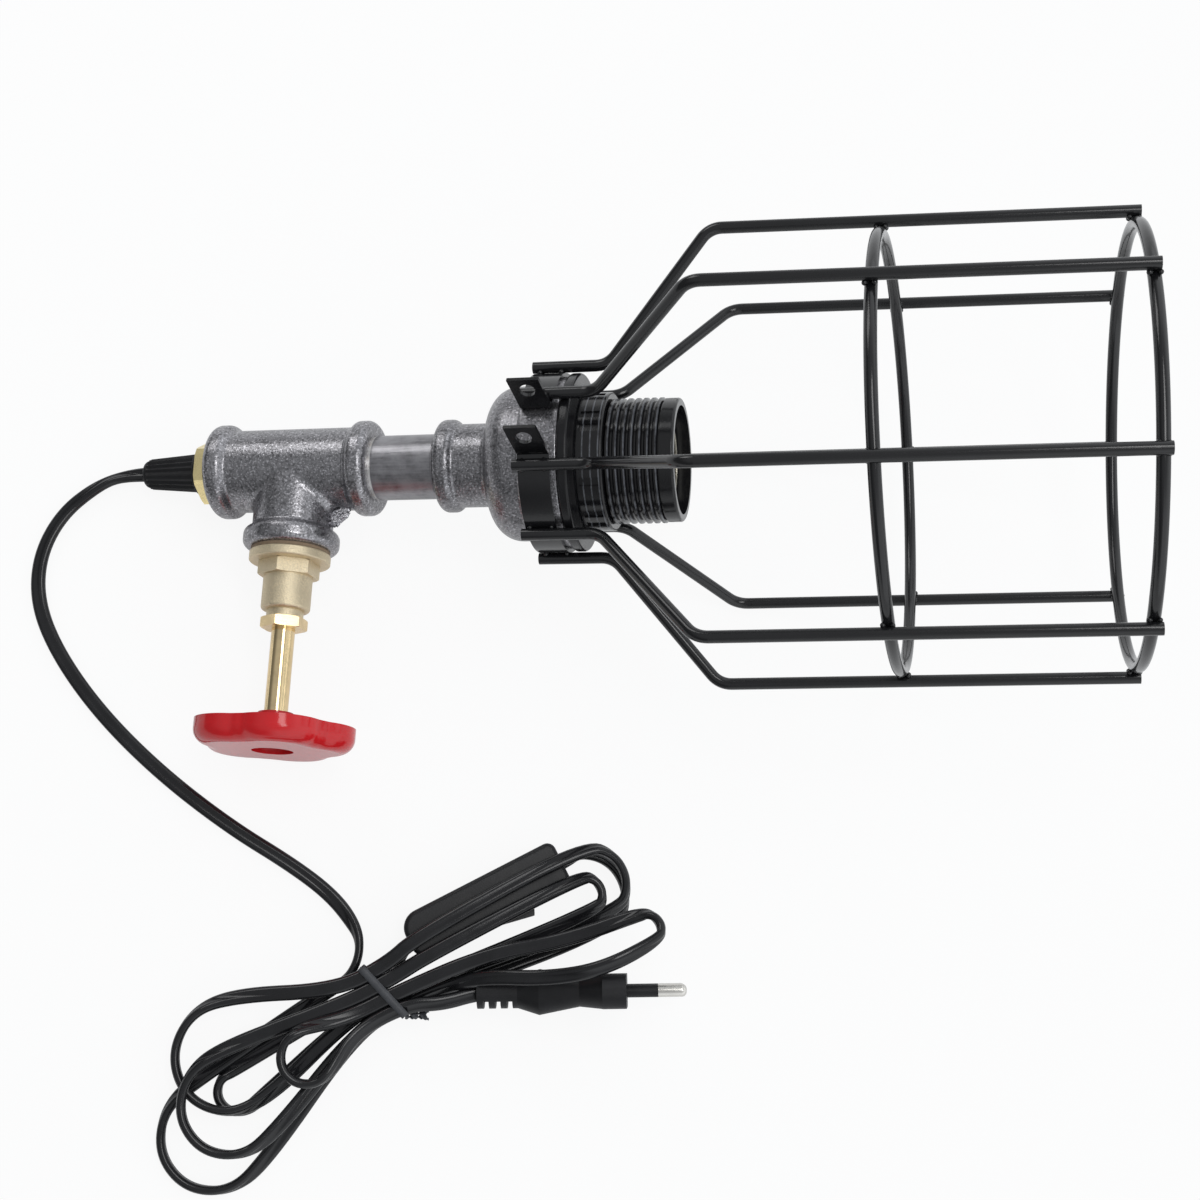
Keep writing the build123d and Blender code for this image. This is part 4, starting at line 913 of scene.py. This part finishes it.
def ribbon(line, asides, width, thickness):
    """A flat strip along a line with a raised wire along its middle."""
    count = len(TIE_OUTLINE)
    vertices = []
    for index, (place, aside) in enumerate(zip(line, asides)):
        over = heading(line, index).cross(aside).normalized()
        for across, rise in TIE_OUTLINE:
            vertices.append(place + aside * (width * across) + over * (thickness * rise))
    faces = []
    for ring in range(len(line) - 1):
        base = ring * count
        for side in range(count):
            after = (side + 1) % count
            faces.append((base + side, base + count + side, base + count + after, base + after))
    last = (len(line) - 1) * count
    faces.append(tuple(range(count)))
    faces.append(tuple(reversed(range(last, last + count))))
    return vertices, faces


def tie_place(across, height):
    """A place in the tie's plane, which lies aslant across the waist."""
    return waist_place(TIE_ALONG + TIE_SLANT * across, across, height)


class PIPELAMP_OT_tie(bpy.types.Operator):
    """Wrap the wire tie round the hank's waist and twist its ends."""

    bl_idname = "pipelamp.tie"
    bl_label = "Wire tie"

    def execute(self, context):
        sizes = context.scene.pipelamp_tie
        aside = waist_way(TIE_SLANT, 1.0, 0.0)
        flat = (WAIST_AHEAD - aside * WAIST_AHEAD.dot(aside)).normalized()
        route = []
        for (across, height), (next_across, next_height) in zip(TIE_CORNERS, TIE_CORNERS[1:]):
            for share in TIE_SIDE_SHARES:
                place = (across + (next_across - across) * share, height + (next_height - height) * share)
                route.append(tie_place(*place))
        route.append(tie_place(*TIE_CORNERS[-1]))
        line = spline_points("tie_route", route, TIE_STEPS)
        vertices, faces = ribbon(line, [flat] * len(line), sizes.width, sizes.thickness)
        start = tie_place(*TAIL_FROM)
        away = waist_way(*TAIL_WAY)
        rise = away.cross(UP).normalized()
        side = rise.cross(away)
        for phase in (0.0, math.pi):
            tail, asides = [], []
            for step in range(TAIL_STEPS + 1):
                share = step / TAIL_STEPS
                turn = phase + 2 * math.pi * sizes.twists * share
                swing = TAIL_SWING + TAIL_FLARE * max(0.0, share - TAIL_FLARE_FROM)
                arm = side * math.cos(turn) + rise * math.sin(turn)
                tail.append(start + away * (sizes.tail * share) + arm * swing)
                asides.append((side * math.sin(turn) - rise * math.cos(turn)).normalized())
            more, sides = ribbon(tail, asides, sizes.width * TAIL_WIDTH_SHARE, sizes.thickness)
            offset = len(vertices)
            vertices += more
            faces += [tuple(index + offset for index in face) for face in sides]
        mesh = bpy.data.meshes.new("wire_tie")
        mesh.from_pydata(vertices, [], faces)
        smooth(mesh)
        finish = moulded_finish("tie_sheath", (0.045, 0.047, 0.052), 0.32)
        tie = new_piece("wire_tie", mesh, finish)
        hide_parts("twist_tie")
        dress(finish, "twist_tie")
        return {"FINISHED"}


def bead_places():
    """Places of the welds: both sides of each bar at each hoop and along the clamp band."""
    places = []
    slope = (CAGE_END_RADIUS - BAR_BULGE_RADIUS) / (CAGE_END_AT - BAR_BULGE_AT)
    for number in range(BAR_COUNT):
        angle = CAGE_ROLL + 360.0 * number / BAR_COUNT
        turn = math.radians(angle)
        lean = math.cos(turn) * math.sin(MID_HOOP_LEAN) + math.sin(turn) * math.sin(MID_HOOP_SKEW)
        for along in (CAGE_MIDDLE_AT + BAR_BULGE_RADIUS * lean, CAGE_END_AT):
            radius = CAGE_END_RADIUS + slope * (along - CAGE_END_AT) - WIRE_RADIUS
            for side in (-1, 1):
                aside = side * CROSSING_SPREAD * WIRE_RADIUS
                at = angle + math.degrees(aside / radius)
                places += [lamp_place(along + step, at, radius) for step in (aside, -aside)]
        for along in (BAND_START + BAND_BEAD_INSET, BAND_END - BAND_BEAD_INSET):
            for side in (-1, 1):
                at = angle + math.degrees(side * BAND_BEAD_ASIDE / BAND_OUTER)
                places.append(lamp_place(along, at, BAND_OUTER + BAND_BEAD_RISE))
    return places


def bead_tree():
    """Weld beads of uneven size on every point of a mesh."""
    tree = bpy.data.node_groups.new("weld_beads", "GeometryNodeTree")
    face = tree.interface
    face.new_socket("Geometry", in_out="INPUT", socket_type="NodeSocketGeometry")
    for name, kind in (
        ("Radius", "NodeSocketFloat"),
        ("Unevenness", "NodeSocketFloat"),
        ("Seed", "NodeSocketInt"),
        ("Material", "NodeSocketMaterial"),
    ):
        face.new_socket(name, in_out="INPUT", socket_type=kind)
    face.new_socket("Geometry", in_out="OUTPUT", socket_type="NodeSocketGeometry")
    nodes = tree.nodes
    start, end = nodes.new("NodeGroupInput"), nodes.new("NodeGroupOutput")
    bead = nodes.new("GeometryNodeMeshIcoSphere")
    bead.inputs["Subdivisions"].default_value = BEAD_DIVISIONS
    spread = nodes.new("FunctionNodeRandomValue")
    spread.data_type = "FLOAT"
    low, high = nodes.new("ShaderNodeMath"), nodes.new("ShaderNodeMath")
    low.operation, high.operation = "SUBTRACT", "ADD"
    place = nodes.new("GeometryNodeInstanceOnPoints")
    real = nodes.new("GeometryNodeRealizeInstances")
    soft = nodes.new("GeometryNodeSetShadeSmooth")
    coat = nodes.new("GeometryNodeSetMaterial")
    link = tree.links.new
    link(start.outputs["Radius"], bead.inputs["Radius"])
    for node in (low, high):
        node.inputs[0].default_value = 1.0
        link(start.outputs["Unevenness"], node.inputs[1])
    floats = [socket for socket in spread.inputs if socket.type == "VALUE"]
    link(low.outputs[0], floats[0])
    link(high.outputs[0], floats[1])
    link(start.outputs["Seed"], spread.inputs["Seed"])
    link(start.outputs["Geometry"], place.inputs["Points"])
    link(bead.outputs["Mesh"], place.inputs["Instance"])
    value = [socket for socket in spread.outputs if socket.type == "VALUE"][0]
    link(value, place.inputs["Scale"])
    link(place.outputs[0], soft.inputs[0])
    link(soft.outputs[0], real.inputs[0])
    link(real.outputs[0], coat.inputs[0])
    link(start.outputs["Material"], coat.inputs["Material"])
    link(coat.outputs[0], end.inputs[0])
    return tree


class PIPELAMP_OT_beads(bpy.types.Operator):
    """Weld the cage's bars to its hoops and to the clamp band."""

    bl_idname = "pipelamp.beads"
    bl_label = "Weld beads"

    def execute(self, context):
        sizes = context.scene.pipelamp_bead
        finish = bpy.data.materials["cage_paint"]
        points = bpy.data.meshes.new("bead_points")
        points.from_pydata(bead_places(), [], [])
        holder = bpy.data.objects.new("bead_points", points)
        context.scene.collection.objects.link(holder)
        tree = bead_tree()
        modifier = holder.modifiers.new("beads", "NODES")
        modifier.node_group = tree
        wanted = {
            "Radius": sizes.radius,
            "Unevenness": sizes.unevenness,
            "Seed": sizes.seed,
            "Material": finish,
        }
        for item in tree.interface.items_tree:
            if item.in_out == "INPUT" and item.name in wanted:
                modifier[item.identifier] = wanted[item.name]
        ready = holder.evaluated_get(context.evaluated_depsgraph_get())
        mesh = bpy.data.meshes.new_from_object(ready)
        bpy.data.objects.remove(holder)
        new_piece("weld_beads", mesh, finish)
        return {"FINISHED"}


class PIPELAMP_OT_finishes(bpy.types.Operator):
    """Give every solid its finish."""

    bl_idname = "pipelamp.finishes"
    bl_label = "Finishes"

    def execute(self, context):
        colours = context.scene.pipelamp_finish
        brass, black = colours.brass, colours.black
        dress(cast_finish("casting_grey", colours.casting, 0.14 * MM), "tee")
        cast_finish("stub_grey", shaded(colours.casting, 1.5), 0.4 * MM)
        dress(cast_finish("coupler_grey", shaded(colours.casting, 0.86), 0.17 * MM), "reducing_socket")
        dress(pipe_finish("pipe_steel", shaded(colours.casting, 0.8)), "pipe_nipple")
        dress(cast_brass_finish("bonnet_brass", colours.sand_brass), "valve_bonnet", "jumper_plate")
        dress(turned_brass_finish("nut_brass", brass, 0.22), "gland_nut")
        dress(turned_brass_finish("spindle_brass", brass, 0.06), "valve_spindle")
        # Painted light: the bush's brass is made paler than the other brass, to stand in for light that its
        # left-facing side does not get.
        dress(turned_brass_finish("bush_brass_painted_light", (1.0, 0.84, 0.44), 0.2), "gland_bush")
        wheel = gloss_paint_finish("wheel_paint", colours.wheel, 0.08, 0.07 * MM, coat=0.1, shine=0.4)
        dress(wheel, "handwheel")
        bars = [f"cage_bar_{number + 1}" for number in range(BAR_COUNT)]
        cage = gloss_paint_finish("cage_paint", black, 0.1, 0.04 * MM, coat=0.0, shine=0.5)
        dress(cage, "clamp_band", "cage_mid_hoop", "cage_end_hoop", *bars)
        holder = moulded_finish("holder_plastic", black, 0.08)
        dress(holder, "holder_base", "holder_ring", "contact_block")
        dress(skirt_finish("skirt_plastic", black, 0.08), "holder_skirt")
        dress(moulded_finish("grip_plastic", black, 0.34), "cord_grip_body", "cord_grip_cap")
        case = moulded_finish("switch_plastic", black, 0.28)
        dress(case, "switch_base", "switch_cover", "switch_rocker")
        dress(moulded_finish("plug_plastic", shaded(black, 1.2), 0.36), "plug_body", "plug_pin_sleeves")
        dress(plated_finish("pin_nickel", (0.72, 0.70, 0.66), 0.14), "plug_pins", "switch_contacts")
        shell = plated_finish("shell_nickel", (0.62, 0.60, 0.55), 0.2)
        dress(shell, "screw_shell", "shell_contact", "centre_contact")
        zinc = plated_finish("screw_zinc", (0.55, 0.55, 0.56), 0.26)
        dress(zinc, "wheel_washer", "wheel_screw", "rocker_pin", "switch_screws", "terminal_screws")
        dress(plain_finish("washer_rubber", (0.02, 0.02, 0.02), 0.6), "packing_ring", "jumper_washer")
        dress(plain_finish("gasket_fibre", (0.28, 0.2, 0.13), 0.7), "bonnet_gasket")
        dress(plain_finish("core_brown", (0.1, 0.035, 0.012), 0.4), "core_live")
        dress(plain_finish("core_blue", (0.01, 0.04, 0.3), 0.4), "core_neutral")
        return {"FINISHED"}


class PIPELAMP_PT_panel(bpy.types.Panel):
    """The lamp's pieces, one button each."""

    bl_label = "Pipe lamp"
    bl_idname = "PIPELAMP_PT_panel"
    bl_space_type = "VIEW_3D"
    bl_region_type = "UI"
    bl_category = "Pipe lamp"

    def draw(self, context):
        for operator in OPERATORS:
            self.layout.operator(operator.bl_idname)


GROUPS = {
    "pipelamp_cord": CordSizes,
    "pipelamp_tie": TieSizes,
    "pipelamp_bead": BeadSizes,
    "pipelamp_stub": StubSizes,
    "pipelamp_finish": FinishColours,
    "pipelamp_stage": StageValues,
}
OPERATORS = (
    PIPELAMP_OT_stage,
    PIPELAMP_OT_cords,
    PIPELAMP_OT_finishes,
    PIPELAMP_OT_tie,
    PIPELAMP_OT_beads,
    PIPELAMP_OT_stub,
)


def register():
    for group in (*GROUPS.values(), *OPERATORS, PIPELAMP_PT_panel):
        bpy.utils.register_class(group)
    for name, group in GROUPS.items():
        setattr(bpy.types.Scene, name, PointerProperty(type=group))


def unregister():
    for name in GROUPS:
        delattr(bpy.types.Scene, name)
    for group in reversed((*GROUPS.values(), *OPERATORS, PIPELAMP_PT_panel)):
        bpy.utils.unregister_class(group)


def main():
    register()
    for operator in OPERATORS:
        group, name = operator.bl_idname.split(".")
        getattr(getattr(bpy.ops, group), name)()


if __name__ == "__main__":
    main()
